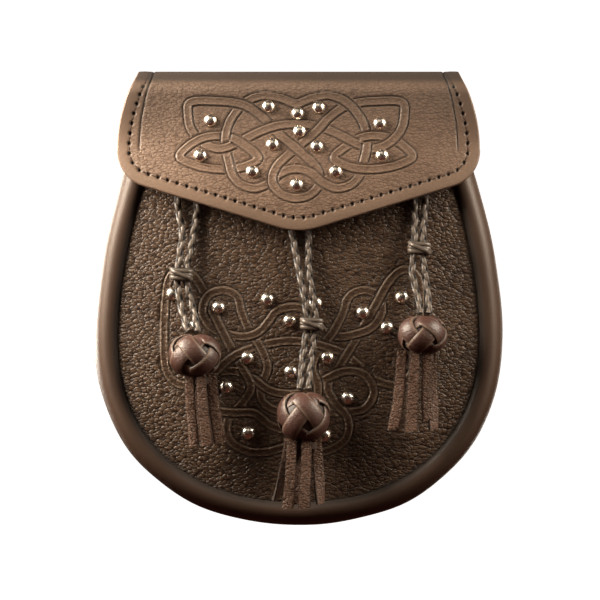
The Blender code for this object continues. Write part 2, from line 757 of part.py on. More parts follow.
def head_place(route, width_share, height_share, aside):
    """The middle of a knotted head: below its cords' ends, and clear of the front panel."""
    across, end_z, _, _ = route[-1]
    z = end_z - HEAD_GAP - HEAD_HEIGHT * height_share / 2
    reach = HEAD_DEPTH * width_share / 2
    y = panel_y(across, z) - reach - EASE_GAP
    return Vector((across + aside, y, z))


def make_head(name, place, width_share, height_share, leather):
    """The knotted head: a flattened ball, cut level at the top and bottom."""
    bm = bmesh.new()
    bmesh.ops.create_uvsphere(bm, u_segments=HEAD_SIDES, v_segments=HEAD_RINGS, radius=0.5)
    level = 0.5 - HEAD_POLE
    for v in bm.verts:
        v.co.z = max(-level, min(level, v.co.z)) / (2 * level)
    size = (HEAD_WIDTH * width_share, HEAD_DEPTH * width_share, HEAD_HEIGHT * height_share)
    bmesh.ops.scale(bm, vec=size, verts=bm.verts)
    head = add_object(name, bm, leather, PIECE_SMOOTH)
    head.location = place


def add_strip(bm, row, top):
    """One hanging strip of a tassel, which bends, widens and turns a little on its way down."""
    head_across, end_across, head_forward, end_forward, width, turn, length = row
    stations = []
    for k in range(STRIP_STEPS + 1):
        share = k / STRIP_STEPS
        bend = share**STRIP_BEND
        x = STRIP_WIDTH * (head_across + (end_across - head_across) * bend)
        y = -STRIP_THICKNESS * (head_forward + (end_forward - head_forward) * bend)
        z = top - STRIP_LENGTH * length * share
        half_x = STRIP_WIDTH * (STRIP_HEAD_SHARE + (width - STRIP_HEAD_SHARE) * share) / 2
        half_y = STRIP_THICKNESS / 2
        cosine, sine = math.cos(math.radians(turn) * bend), math.sin(math.radians(turn) * bend)
        ring = []
        for sx, sy in ((-1, -1), (1, -1), (1, 1), (-1, 1)):
            out, back = sx * half_x, sy * half_y
            ring.append(bm.verts.new((x + out * cosine - back * sine, y + out * sine + back * cosine, z)))
        stations.append(ring)
    for high, low in zip(stations, stations[1:]):
        for k in range(4):
            after = (k + 1) % 4
            bm.faces.new((high[k], low[k], low[after], high[after]))
    bm.faces.new(stations[0])
    bm.faces.new(stations[-1][::-1])
    bmesh.ops.recalc_face_normals(bm, faces=bm.faces)


def make_tassel(name, place, height_share, strips, leather):
    """The strips below a head, fused to a short core that goes up to it."""
    top = -HEAD_HEIGHT * height_share / 2 - TOUCH_GAP
    strip_bm = bmesh.new()
    for row in strips:
        add_strip(strip_bm, row, top - TASSEL_CORE / 3)
    locks = add_object(name + "_locks", strip_bm, leather)
    locks.location = place
    locks.hide_render = True
    locks.display_type = "WIRE"
    first, last = min(row[0] for row in strips), max(row[0] for row in strips)
    front, back = max(row[2] for row in strips), min(row[2] for row in strips)
    width = STRIP_WIDTH * (last - first + STRIP_HEAD_SHARE)
    depth = STRIP_THICKNESS * (front - back + 1)
    middle_x = STRIP_WIDTH * (first + last) / 2
    middle_y = -STRIP_THICKNESS * (front + back) / 2
    core = bmesh.new()
    bmesh.ops.create_cone(
        core, cap_ends=True, segments=CORE_SIDES, radius1=0.5, radius2=0.5 * TASSEL_CORE_TAPER, depth=1.0
    )
    bmesh.ops.scale(core, vec=(width, depth, TASSEL_CORE), verts=core.verts)
    bmesh.ops.translate(core, vec=(middle_x, middle_y, top - TASSEL_CORE / 2), verts=core.verts)
    tassel = add_object(name, core, leather)
    tassel.location = place
    union = tassel.modifiers.new("Locks", "BOOLEAN")
    union.operation = "UNION"
    union.object = locks
    union.use_self = True


def make_tassels(leather, cord_leather):
    for side, row in TASSELS.items():
        start, rows, knot_row, width_share, height_share, aside, strips = row
        route = hung_route(start, rows)
        make_tab(f"{side}_anchor_tab", route, leather)
        make_cord(f"{side}_cord_a", smooth_route(route_points(route, -1)), cord_leather)
        make_cord(f"{side}_cord_b", smooth_route(route_points(route, 1)), cord_leather)
        make_slide_knot(f"{side}_slide_knot", route, knot_row, cord_leather)
        place = head_place(route, width_share, height_share, aside)
        make_head(f"{side}_turks_head", place, width_share, height_share, leather)
        make_tassel(f"{side}_tassel", place, height_share, strips, leather)


def build():
    remove_everything()
    grained = make_material("grained_leather", (0.075, 0.048, 0.032), 0.45)
    smooth = make_material("smooth_leather", (0.105, 0.068, 0.046), 0.40)
    lace = make_material("lace_leather", (0.085, 0.060, 0.042), 0.35)
    nickel = make_material("polished_nickel", (0.83, 0.77, 0.70), 0.15, 1.0)
    make_gusset(smooth)
    make_back_panel(smooth)
    panel_tree = surface_of(make_front_panel(grained))
    flap_tree = surface_of(make_flap(grained))
    for name, x in (("strap_loop_left", -LOOP_SPACING / 2), ("strap_loop_right", LOOP_SPACING / 2)):
        make_strap_loop(name, x, smooth)
    make_catch(flap_tree, panel_tree, nickel)
    make_studs(flap_tree, panel_tree, nickel)
    make_tassels(smooth, lace)


build()
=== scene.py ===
"""The looks of a leather sporran pouch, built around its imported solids.

Metres, +Z up. The front faces -Y and +X is on the viewer's right.
"""

import math
import random

import bmesh
import bpy
import numpy as np
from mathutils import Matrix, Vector


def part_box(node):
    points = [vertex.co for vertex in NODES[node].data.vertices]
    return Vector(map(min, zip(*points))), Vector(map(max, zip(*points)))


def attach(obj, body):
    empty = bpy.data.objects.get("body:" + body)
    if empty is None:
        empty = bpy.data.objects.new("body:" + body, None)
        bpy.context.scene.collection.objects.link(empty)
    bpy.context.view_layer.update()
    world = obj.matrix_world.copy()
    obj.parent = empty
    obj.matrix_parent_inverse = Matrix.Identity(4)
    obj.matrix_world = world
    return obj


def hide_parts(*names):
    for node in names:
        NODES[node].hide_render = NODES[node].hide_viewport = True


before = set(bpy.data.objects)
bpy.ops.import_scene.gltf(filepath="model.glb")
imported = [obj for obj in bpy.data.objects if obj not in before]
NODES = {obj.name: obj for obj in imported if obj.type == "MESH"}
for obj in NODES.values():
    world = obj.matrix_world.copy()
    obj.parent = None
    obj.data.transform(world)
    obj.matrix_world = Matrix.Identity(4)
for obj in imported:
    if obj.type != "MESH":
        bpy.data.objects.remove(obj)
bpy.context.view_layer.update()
MM = 0.001
QUARTER = math.pi / 2
WHOLE = 2 * math.pi
TO_VIEWER = (0.0, -1.0, 0.0)

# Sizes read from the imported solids
GUSSET_LOW, GUSSET_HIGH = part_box("gusset")
FLAP_LOW, FLAP_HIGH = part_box("flap")
TOP_Z = FLAP_HIGH.z
BOTTOM_Z = GUSSET_LOW.z
MOUTH_Z = GUSSET_HIGH.z
BACK_FACE = GUSSET_HIGH.y
HALF_WIDTH = GUSSET_HIGH.x
FLAP_WIDTH = FLAP_HIGH.x - FLAP_LOW.x
FLAP_DROP = FLAP_HIGH.z - FLAP_LOW.z

# Forms that the solids follow too
WIDEST_RISE = 82.7 * MM
MOUTH_WIDTH = 126 * MM
LOWER_ROUNDNESS = 2.2
UPPER_TAPER = 1.8
DEPTH_AT_BOTTOM = 36 * MM
DEPTH_AT_MOUTH = 25 * MM
GUSSET_THICKNESS = 1.6 * MM
RIM_WIDTH = 8.8 * MM
RIDGE_INSET = 2.6 * MM
SEAM_VALLEY = 1.2 * MM
SEAM_TURN_IN = 6 * MM
MOUTH_TURN_IN = 2.8 * MM
SIDE_FULLNESS = 2.4
TOUCH_GAP = 0.3 * MM
EASE_GAP = 0.6 * MM
PANEL_THICKNESS = 2 * MM
PANEL_DOME = 6 * MM
DOME_LEFT_AT_MOUTH = 0.40
EDGE_ROUND = 1.4 * MM
BACK_THICKNESS = 2.2 * MM
FLAP_THICKNESS = 3 * MM
FLAP_LAP = 22 * MM
FLAP_TOP_SET_IN = 8.7 * MM
FLAP_SIDE_DROP = 35 * MM
FLAP_CORNER_RADIUS = 17 * MM
FLAP_TIP_RADIUS = 30 * MM
FLAP_EDGE_SLOPE = math.radians(17.1)
FOLD_HEIGHT = 11 * MM
FOLD_CLEARANCE = 1.2 * MM
FLAP_CROWN = 4 * MM
FLAP_CROWN_POWER = 2.4
FLAP_LIE = 1.4
FLAP_STAND_OFF = 4.2 * MM
PASSAGE_HEIGHT = 28 * MM
PASSAGE_DEPTH = 6 * MM
LOOP_THICKNESS = 2 * MM
LOOP_FOOT = 9 * MM
LOOP_CORNER = 2 * MM
LOOP_CORNER_CUT = 0.3
CORD_DIAMETER = 2.6 * MM
KNOT_LENGTH = 6.4 * MM
KNOT_EASE = 0.9 * MM
HEAD_WIDTH = 22.8 * MM
HEAD_DEPTH = 20 * MM
HEAD_HEIGHT = 18.2 * MM
HEAD_GAP = 1.1 * MM
STRIP_WIDTH = 5.6 * MM
STRIP_THICKNESS = 1.3 * MM
STRIP_LENGTH = 29 * MM
STRIP_BEND = 1.6
STRIP_HEAD_SHARE = 0.80
STRIP_TUCK = 2.6 * MM
TASSEL_CORE = 3 * MM

WIDEST_Z = BOTTOM_Z + WIDEST_RISE
FLAP_TOP_WIDTH = FLAP_WIDTH - 2 * FLAP_TOP_SET_IN

# The length of flap leather that goes over the fold, measured down its middle line
FOLD_RUN = 40 * MM

# Each pair of cords: metres across, down from the fold's top, and then the standing off from the
# front panel and half the pair's spacing, both in cord diameters
LEFT_ROUTE = (
    # across, down, lift, spread
    (-0.0489, 0.0528, 0.78, 1.50),
    (-0.0486, 0.0575, 0.78, 1.62),
    (-0.0484, 0.0622, 0.85, 1.55),
    (-0.0483, 0.0714, 1.15, 0.95),
    (-0.0493, 0.0788, 1.55, 0.86),
    (-0.0503, 0.0845, 1.80, 0.74),
    (-0.0511, 0.0893, 1.90, 0.74),
    (-0.0505, 0.0946, 2.00, 0.80),
    (-0.0488, 0.1028, 2.20, 0.96),
    (-0.0470, 0.1094, 3.20, 0.92),
    (-0.0458, 0.1140, 4.10, 0.80),
)
CENTRE_ROUTE = (
    (0.0002, 0.0660, 0.80, 1.30),
    (0.0005, 0.0700, 0.80, 1.36),
    (0.0011, 0.0744, 0.80, 1.30),
    (0.0019, 0.0840, 1.10, 0.92),
    (0.0032, 0.0928, 1.55, 0.78),
    (0.0046, 0.1000, 1.75, 0.74),
    (0.0057, 0.1108, 1.75, 0.74),
    (0.0046, 0.1190, 1.80, 0.74),
    (0.0036, 0.1270, 2.30, 0.74),
    (0.0029, 0.1340, 3.30, 0.74),
    (0.0025, 0.1388, 4.10, 0.74),
)
RIGHT_ROUTE = (
    (0.0531, 0.0500, 0.78, 0.96),
    (0.0531, 0.0560, 0.82, 0.92),
    (0.0528, 0.0652, 1.25, 0.80),
    (0.0525, 0.0710, 1.70, 0.74),
    (0.0526, 0.0777, 1.90, 0.74),
    (0.0521, 0.0830, 2.00, 0.84),
    (0.0523, 0.0884, 2.15, 1.08),
    (0.0534, 0.0955, 2.50, 0.96),
    (0.0545, 0.1018, 3.40, 0.76),
    (0.0547, 0.1062, 4.10, 0.76),
)

# The strips that hang from each head. Across is in strip widths, forward in strip thicknesses,
# width in STRIP_WIDTH, turn in degrees and length in STRIP_LENGTH
LEFT_STRIPS = (
    # across at head, across at end, forward at head, forward at end, width, turn, length
    (-0.40, -0.07, 2.2, 1.8, 0.82, -12, 1.00),
    (0.52, 0.95, 3.0, 2.9, 0.95, 0, 0.98),
    (1.34, 1.96, 1.7, 1.0, 1.06, 14, 0.95),
    (0.00, 0.32, -1.7, -2.2, 1.00, 0, 0.93),
    (0.95, 1.38, -1.9, -2.4, 1.00, 0, 0.91),
)
CENTRE_STRIPS = (
    (-0.91, -1.23, 2.8, 2.9, 1.00, -4, 0.95),
    (0.22, 0.07, 2.9, 3.1, 1.00, 4, 0.94),
    (1.05, 1.36, 1.0, 0.6, 1.00, 58, 0.88),
    (-1.15, -2.20, -0.6, -1.2, 0.80, 62, 0.83),
    (-0.10, -0.45, -1.9, -2.3, 1.00, 0, 0.90),
)
RIGHT_STRIPS = (
    (-1.62, -2.25, 2.1, 2.1, 1.06, -8, 1.08),
    (-0.64, -0.95, 2.9, 3.2, 1.08, 0, 1.12),
    (0.30, 0.36, 2.0, 1.2, 0.90, 20, 0.95),
    (0.72, 0.82, -0.4, -0.6, 1.00, 48, 1.10),
    (-0.60, -0.90, -1.9, -2.3, 1.00, 0, 1.00),
)
TASSELS = {
    # name: route, knot row, width share, height share, aside, strips
    "left": (LEFT_ROUTE, 6, 1.02, 1.00, 0.0009, LEFT_STRIPS),
    "centre": (CENTRE_ROUTE, 6, 1.03, 1.18, -0.0003, CENTRE_STRIPS),
    "right": (RIGHT_ROUTE, 4, 0.95, 0.885, -0.0009, RIGHT_STRIPS),
}

# The interlaced bands pressed into the leather. Each is half of a closed band whose other half is
# its mirror image, in millimetres across from the ornament's middle line and down
BAND_HALF_WIDTH = 1.75 * MM
FLAP_BANDS = (
    # from the bottom loop, across the middle, round the upper lobe and back to the middle
    (
        (0, 56.2), (6.4, 54.4), (10.4, 49.0), (8.8, 42.8), (3.4, 37.2), (-3.4, 31.6), (-9.2, 26.6),
        (-15, 20.4), (-23, 15.4), (-34, 13.8), (-46, 14.2), (-47.2, 19.8), (-45.6, 26.4),
        (-40.6, 32), (-34, 34.6), (-27.6, 33), (-21, 29.6), (-14.6, 26.6), (-7.6, 24.4), (0, 23.8),
    ),
    # round the lower stud and up to the arch over the middle
    (
        (0, 43.4), (6.5, 45.2), (12, 49.6), (17.6, 51.9), (23.6, 50.4), (27.6, 46), (29.4, 40),
        (30.8, 33.6), (30.4, 26.6), (27.4, 20), (22, 14.2), (14.5, 11.2), (7, 12.4), (0, 14.8),
    ),
)
FLAP_LEAVES = (
    # the pointed leaf round the outer lower stud
    (
        (16.5, 38.6), (22, 42.2), (29, 43.6), (37, 43.3), (44.6, 41.6), (50.6, 38.2), (47.4, 33.8),
        (41.5, 30.2), (35, 29), (28.5, 29.8), (22, 33.4),
    ),
)
FLAP_ORNAMENT = (-1.0 * MM, 0.0, 0.0)
PANEL_BANDS = (
    # the outer lobe and its long slanting side
    (
        (0, 84), (-9, 86), (-18, 85.4), (-25.5, 80), (-26, 71.5), (-20, 64), (-16.9, 57),
        (-22, 47.6), (-28.3, 36.6), (-35.2, 23.8), (-41.6, 11.8), (-48, 6.4), (-54, 9.6),
        (-55.6, 20), (-55.6, 36), (-54, 50), (-48, 56.6), (-40, 55.6), (-33, 51), (-28.6, 47),
        (-23.6, 43.4), (-17, 40.6), (-8.6, 38.4), (0, 37.4),
    ),
    # the arch over the middle stud, the ring round the next one and the ring round the heart
    (
        (0, 22.6), (6.6, 24.4), (10.6, 29.4), (14.4, 33.6), (20.4, 35.6), (27.6, 34.6), (35.0, 31.6),
        (39.2, 24.6), (37.2, 17.8), (30.6, 15.4), (24.4, 18.2), (22.0, 25.2), (18.4, 32.8),
        (12.8, 40.8), (9.8, 49), (12.4, 56.8), (11.6, 63.6), (6, 67.6), (0, 68.6),
    ),
    # the ring round the lower side stud
    (
        (0, 76.4), (7.6, 74.2), (15.2, 69.0), (24.6, 68.8), (33.4, 66.8), (37, 59.6),
        (33, 52.4), (25, 50.6), (16.6, 53.6), (8.6, 59.0), (0, 60.6),
    ),
)
PANEL_ORNAMENT = (-1.7 * MM, 81.0 * MM, -0.040)

# Work on the leather's face: stitches, the pressed line at each side of the flap, and the bands
STITCH_INSET = 5.6 * MM
STITCH_PITCH = 4.4 * MM
STITCH_THREAD = 0.34 * MM
STITCH_BOW = 0.20 * MM
STITCH_SINK = 0.46 * MM
HOLE_RADIUS = 0.80 * MM
HOLE_DEPTH = 0.95 * MM
BORDER_CROWN = 0.10 * MM
SEWN_DEPTH = 0.10 * MM
SIDE_LINE_SET_IN = 7.0 * MM
SIDE_LINE_SPREAD = 3.0 * MM
SIDE_LINE_DEPTH = 0.50 * MM
FOLD_MIDDLE = -9 * MM
GROOVE_DEPTH = 0.42 * MM
LIP_HEIGHT = 0.26 * MM
BAND_HEIGHT = 0.06 * MM
BAND_REACH = BAND_HALF_WIDTH + 1.1 * MM

# How fine the grids are
FLAP_CELL = 0.46 * MM
FLAP_LINING_CELL = 4 * MM
FLAP_EDGE_ROUND = 0.8 * MM
PANEL_CELL = 0.50 * MM
PANEL_LINING_CELL = 6 * MM
PANEL_FINE_TOP = -6 * MM


# Curves and fades


def smoothstep(low, high, value):
    share = np.clip((value - low) / (high - low), 0.0, 1.0)
    return share * share * (3 - 2 * share)


def bell(value, middle, width):
    """1 at the middle, and falling away to 0 over about two widths on both sides."""
    return np.exp(-(((value - middle) / width) ** 2))


def drawn_out(value, power):
    """A cosine or sine, drawn out towards a square's."""
    return np.sign(value) * np.abs(value) ** power


def unit(vectors):
    return vectors / np.maximum(np.linalg.norm(vectors, axis=-1, keepdims=True), 1e-12)


def run_along(line):
    """How far along a polyline each of its points is."""
    return np.append(0.0, np.cumsum(np.linalg.norm(np.diff(line, axis=0), axis=1)))


def read_line(line, run, places):
    """The points that lie at given distances along a polyline."""
    return np.column_stack([np.interp(places, run, column) for column in line.T])


def resample(line, steps):
    """Evenly spaced points on a polyline, and its unit direction at each."""
    run = run_along(line)
    at = np.linspace(0.0, run[-1], steps + 1)
    reach = run[-1] / steps / 2
    tangent = read_line(line, run, at + reach) - read_line(line, run, at - reach)
    return read_line(line, run, at), unit(tangent)


def catmull_rom(points, closed, steps=10):
    """A smooth curve through points."""
    points = np.asarray(points, float)
    if closed:
        padded = np.vstack([points[-1], points, points[0], points[1]])
    else:
        padded = np.vstack([2 * points[0] - points[1], points, 2 * points[-1] - points[-2]])
    dense = []
    for a, b, c, d in zip(padded, padded[1:], padded[2:], padded[3:]):
        for t in np.linspace(0, 1, steps, endpoint=False):
            start = 2 * b + (c - a) * t + (2 * a - 5 * b + 4 * c - d) * t**2
            dense.append(0.5 * start + 0.5 * (3 * b - a - 3 * c + d) * t**3)
    if not closed:
        dense.append(points[-1])
    return np.array(dense)


# The body's surfaces


def ridge_y(z):
    share = (MOUTH_Z - z) / (MOUTH_Z - BOTTOM_Z)
    return BACK_FACE - (DEPTH_AT_MOUTH + (DEPTH_AT_BOTTOM - DEPTH_AT_MOUTH) * share)


def half_width_at(z):
    up = np.clip((z - WIDEST_Z) / (MOUTH_Z - WIDEST_Z), 0, 1)
    down = np.clip((WIDEST_Z - z) / WIDEST_RISE, 0, 1)
    upper = HALF_WIDTH - (2 * HALF_WIDTH - MOUTH_WIDTH) / 2 * up**UPPER_TAPER
    lower = HALF_WIDTH * (1 - down**LOWER_ROUNDNESS) ** (1 / LOWER_ROUNDNESS)
    return np.where(z >= WIDEST_Z, upper, lower)


def dome_share(x, z):
    """1 at the crown of the front panel and 0 at its seam."""
    inset = RIM_WIDTH + TOUCH_GAP
    rise = np.clip((z - WIDEST_Z) / (MOUTH_Z - WIDEST_Z), 0, 2)
    half = np.where(z >= WIDEST_Z, half_width_at(z), HALF_WIDTH) - inset
    down = np.clip((WIDEST_Z - z) / (WIDEST_RISE - inset), 0, 2)
    left_over = 1 - (1 - DOME_LEFT_AT_MOUTH) * rise**2
    return np.clip(1 - (np.abs(x) / half) ** LOWER_ROUNDNESS - down**LOWER_ROUNDNESS, 0, 1) * left_over


def panel_y(x, z):
    return ridge_y(z) + SEAM_VALLEY - PANEL_DOME * dome_share(x, z)


def body_outline(steps, samples=800):
    """Evenly spaced points (x, z) of the silhouette, from the left end of the mouth round the bottom
    to the right end, with the unit normals that point into the pouch."""
    z_upper = MOUTH_Z + (WIDEST_Z - MOUTH_Z) * np.linspace(0, 1, samples)
    turn = np.linspace(0, QUARTER, samples)[1:]
    x_lower = HALF_WIDTH * np.clip(np.cos(turn), 0, 1) ** (2 / LOWER_ROUNDNESS)
    x_lower[-1] = 0.0
    z_lower = WIDEST_Z - WIDEST_RISE * np.sin(turn) ** (2 / LOWER_ROUNDNESS)
    right = np.column_stack([np.append(half_width_at(z_upper), x_lower), np.append(z_upper, z_lower)])
    whole = np.vstack([right * (-1, 1), right[-2::-1]])
    points, tangent = resample(whole, steps)
    return points, np.column_stack([-tangent[:, 1], tangent[:, 0]])


# The flap's surface


def flap_half_width(drop):
    share = np.clip(drop / FLAP_SIDE_DROP, 0, 1)
    return (FLAP_TOP_WIDTH + (FLAP_WIDTH - FLAP_TOP_WIDTH) * np.sin(share * QUARTER)) / 2


def flap_edge_drop(x, inset=0.0):
    """How far the flap's lower edge hangs at a place across it, or a line set in from that edge."""
    slope = FLAP_EDGE_SLOPE
    tip_radius, corner_radius = FLAP_TIP_RADIUS - inset, FLAP_CORNER_RADIUS - inset
    across = np.abs(x)
    drop = FLAP_DROP - inset
    tip_reach = tip_radius * math.sin(slope)
    tip = drop - tip_radius + np.sqrt(np.clip(tip_radius**2 - across**2, 0, None))
    tip_end = drop - tip_radius * (1 - math.cos(slope))
    corner_x = FLAP_WIDTH / 2 - FLAP_CORNER_RADIUS
    corner_reach = corner_x + corner_radius * math.sin(slope)
    straight = tip_end - (across - tip_reach) * math.tan(slope)
    line_end = tip_end - (corner_reach - tip_reach) * math.tan(slope)
    out = np.clip(across - corner_x, 0, corner_radius)
    corner = line_end - corner_radius * math.cos(slope) + np.sqrt(corner_radius**2 - out**2)
    return np.where(across <= tip_reach, tip, np.where(across <= corner_reach, straight, corner))


def flap_y(x, drop):
    start = panel_y(0.0, MOUTH_Z) - FOLD_CLEARANCE - FLAP_THICKNESS
    end = panel_y(0.0, TOP_Z - FLAP_DROP) - FLAP_STAND_OFF - FLAP_THICKNESS
    share = np.clip((drop - FOLD_HEIGHT) / (FLAP_DROP - FOLD_HEIGHT), 0, 1)
    middle = start + (end - start) * np.sin(share * QUARTER) ** FLAP_LIE
    crown = FLAP_CROWN * smoothstep(FOLD_HEIGHT, FLAP_SIDE_DROP, drop)
    return middle + crown * np.abs(2 * x / FLAP_WIDTH) ** FLAP_CROWN_POWER


def flap_place(share, run, inset=0.0):
    """The flap's outer face. Share is the place across, from -1 to 1. Run is the drop in front and
    goes on, below FOLD_HEIGHT, over the fold and down the lap on the back."""
    back = BACK_FACE + TOUCH_GAP + FLAP_THICKNESS
    front = flap_y(0.0, FOLD_HEIGHT)
    turn = np.clip((run - FOLD_HEIGHT + FOLD_RUN) / FOLD_RUN, 0, 1) * math.pi
    rise = FOLD_HEIGHT * np.sin(turn)
    in_front = np.clip(-np.cos(turn), 0, 1)
    fold_width = flap_half_width((FOLD_HEIGHT - rise) * in_front)
    on_front = run >= FOLD_HEIGHT
    x = share * (np.where(on_front, flap_half_width(run), fold_width) - inset)
    y_fold = (back + front) / 2 + (back - front) / 2 * np.cos(turn)
    y = np.where(on_front, flap_y(x, run), y_fold)
    below = np.clip(FOLD_HEIGHT - FOLD_RUN - run, 0, None)
    z = np.where(on_front, TOP_Z - run, TOP_Z - FOLD_HEIGHT + rise - below)
    return np.stack([x, y, z], axis=-1)


# Meshes


def round_turns(sides, start=0.0):
    """Evenly spaced turns all the way round, from a share of a side onwards."""
    return WHOLE * (np.arange(sides) + start) / sides


def grid_index(columns, rows, first=0):
    return first + np.arange(columns * rows).reshape(columns, rows)


def grid_normals(grid):
    """Unit normals of a grid of points, pointing to the side from which rows turn clockwise."""
    return unit(np.cross(np.gradient(grid, axis=0), np.gradient(grid, axis=1)))


def grid_faces(index):
    a, b, c, d = index[:-1, :-1], index[1:, :-1], index[1:, 1:], index[:-1, 1:]
    return np.stack([a, b, c, d], axis=-1).reshape(-1, 4).tolist()


def ring_faces(index):
    """Faces between rings that each close on themselves."""
    after = np.roll(index, -1, axis=1)
    return np.stack([index[:-1], after[:-1], after[1:], index[1:]], axis=-1).reshape(-1, 4).tolist()


def border(index):
    """The ring of a grid's border, and how far round it each place is, counted in sides."""
    sides = [index[:-1, 0], index[-1, :-1], index[:0:-1, -1], index[0, :0:-1]]
    share = np.concatenate([k + np.arange(len(side)) / len(side) for k, side in enumerate(sides)])
    return np.concatenate(sides), share


def bridge(ring_a, share_a, ring_b, share_b):
    """Triangles between two rings of any number of points."""
    faces = []
    i = j = 0
    while i < len(ring_a) or j < len(ring_b):
        next_a = share_a[i + 1] if i + 1 < len(ring_a) else 4.0
        next_b = share_b[j + 1] if j + 1 < len(ring_b) else 4.0
        here_a, here_b = ring_a[i % len(ring_a)], ring_b[j % len(ring_b)]
        if j >= len(ring_b) or (i < len(ring_a) and next_a <= next_b):
            faces.append((here_a, ring_a[(i + 1) % len(ring_a)], here_b))
            i += 1
        else:
            faces.append((here_a, ring_b[(j + 1) % len(ring_b)], here_b))
            j += 1
    return faces


def slab(face, lining, thickness, edge, inward=None, turned_in=None):
    """A closed piece of leather: a fine outer face, rings round its edge and a plainer inner side.
    Edge has a row for each ring: how far out and in it is, and its share of the turning in, which
    turned_in gives for places on the edge."""
    index = grid_index(*face.shape[:2])
    flat = face.reshape(-1, 3)
    points = [flat]
    faces = grid_faces(index)
    count = len(flat)
    ring, share = border(index)
    at = flat[ring]
    away = grid_normals(face).reshape(-1, 3)[ring]
    into = -away if inward is None else np.broadcast_to(np.array(inward, float), at.shape)
    out = unit(np.cross(np.roll(at, -1, axis=0) - np.roll(at, 1, axis=0), into))
    if np.sum(out * (at - at.mean(axis=0))) < 0:
        out = -out
    turned = np.zeros(len(ring)) if turned_in is None else turned_in(at)
    for reach, deep, turn_share in edge:
        points.append(at + out * reach + into * (deep + turn_share * turned)[:, None])
        new_ring = np.arange(count, count + len(ring))
        count += len(ring)
        faces += ring_faces(np.stack([ring, new_ring]))
        ring = new_ring
    inner = lining - grid_normals(lining) * thickness
    inner_index = grid_index(*inner.shape[:2], count)
    points.append(inner.reshape(-1, 3))
    faces += grid_faces(inner_index)
    inner_ring, inner_share = border(inner_index)
    faces += bridge(ring.tolist(), share, inner_ring.tolist(), inner_share)
    return np.vstack(points), faces


def rounding(radius, steps, flatness=1.0):
    """Edge rows for one rounded side of an edge."""
    turns = np.linspace(0, QUARTER, steps + 1)[1:]
    return [(radius * math.sin(t), radius * flatness * (1 - math.cos(t)), 0.0) for t in turns]


def soft_edge(radius, thickness, steps=4):
    """Edge rows for an edge rounded on both sides."""
    rows = rounding(radius, steps)
    return rows + [(out, thickness - deep, 0.0) for out, deep, _ in rows[::-1]]


def tube(path, width, depth, front, sides):
    """A closed tube of oval section along a path, whose depth is measured along front."""
    path = np.asarray(path, float)
    tangent = unit(np.gradient(path, axis=0))
    across = unit(np.cross(tangent, front))
    forward = unit(np.cross(across, tangent))
    turns = round_turns(sides)
    half_width = np.broadcast_to(width, len(path))[:, None, None] / 2
    half_depth = np.broadcast_to(depth, len(path))[:, None, None] / 2
    rings = path[:, None] + across[:, None] * np.cos(turns)[:, None] * half_width
    rings = rings + forward[:, None] * np.sin(turns)[:, None] * half_depth
    points = np.vstack([rings.reshape(-1, 3), path[0], path[-1]])
    index = grid_index(len(path), sides)
    first, last = len(points) - 2, len(points) - 1
    faces = ring_faces(index) + fan(index[0], first) + fan(index[-1], last)
    return points, faces


def fan(ring, middle):
    """Triangles from a ring of points to one point in its middle."""
    return [(middle, a, b) for a, b in zip(ring.tolist(), np.roll(ring, -1).tolist())]


def joined(parts):
    """Several (points, faces) as one."""
    points, faces, count = [], [], 0
    for part_points, part_faces in parts:
        points.append(part_points)
        faces += [tuple(k + count for k in face) for face in part_faces]
        count += len(part_points)
    return np.vstack(points), faces


SHARP_ANGLE = math.radians(50)


def add_piece(name, shape, finish, replaced=(), fields=None):
    """A new piece on the pouch from (points, faces), with its faces pointing out and its fields
    stored on its points."""
    points, faces = shape
    mesh = bpy.data.meshes.new(name)
    mesh.from_pydata(points.tolist(), [], faces)
    bm = bmesh.new()
    bm.from_mesh(mesh)
    bmesh.ops.recalc_face_normals(bm, faces=bm.faces)
    bm.to_mesh(mesh)
    bm.free()
    for field, values in (fields or {}).items():
        layer = mesh.attributes.new(field, "FLOAT", "POINT")
        whole = np.zeros(len(mesh.vertices), np.float32)
        whole[: len(values)] = values
        layer.data.foreach_set("value", whole)
    mesh.shade_smooth()
    mesh.set_sharp_from_angle(angle=SHARP_ANGLE)
    material, slot = FINISHES[finish]
    mesh.materials.append(material)
    piece = bpy.data.objects.new(name, mesh)
    bpy.context.scene.collection.objects.link(piece)
    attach(piece, "root")
    if replaced:
        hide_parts(*replaced)
    return piece


# The pressed ornament


def closed_bands(halves, leaves, ornament):
    """Every band as a dense closed curve (x, down), in metres. The ornament's place is its middle's
    x, its top, and how far its middle line leans aside for each metre down."""
    shapes = []
    for half in halves:
        half = np.array(half, float)
        shapes.append(np.vstack([half, half[-2:0:-1] * (-1, 1)]))
    for leaf in leaves:
        shapes += [np.array(leaf, float), np.array(leaf, float) * (-1, 1)]
    x, top, lean = ornament
    bands = []
    for shape in shapes:
        band = catmull_rom(shape, True) * MM
        bands.append(np.column_stack([band[:, 0] + x + lean * band[:, 1], band[:, 1] + top]))
    return bands


def crossings(bands):
    """Where the bands cross, as (band, segment, other band, other segment)."""
    found = []
    for one, first in enumerate(bands):
        step = np.roll(first, -1, axis=0) - first
        for two in range(one, len(bands)):
            second = bands[two]
            other = np.roll(second, -1, axis=0) - second
            gap = second[None] - first[:, None]
            cross = step[:, None, 0] * other[None, :, 1] - step[:, None, 1] * other[None, :, 0]
            cross = np.where(np.abs(cross) < 1e-14, 1e-14, cross)
            t = (gap[..., 0] * other[None, :, 1] - gap[..., 1] * other[None, :, 0]) / cross
            u = (gap[..., 0] * step[:, None, 1] - gap[..., 1] * step[:, None, 0]) / cross
            hits = np.argwhere((t >= 0) & (t < 1) & (u >= 0) & (u < 1))
            for i, j in hits:
                apart = min((i - j) % len(first), (j - i) % len(first))
                if one != two or (i < j and apart > 1):
                    found.append((one, int(i), two, int(j)))
    return found


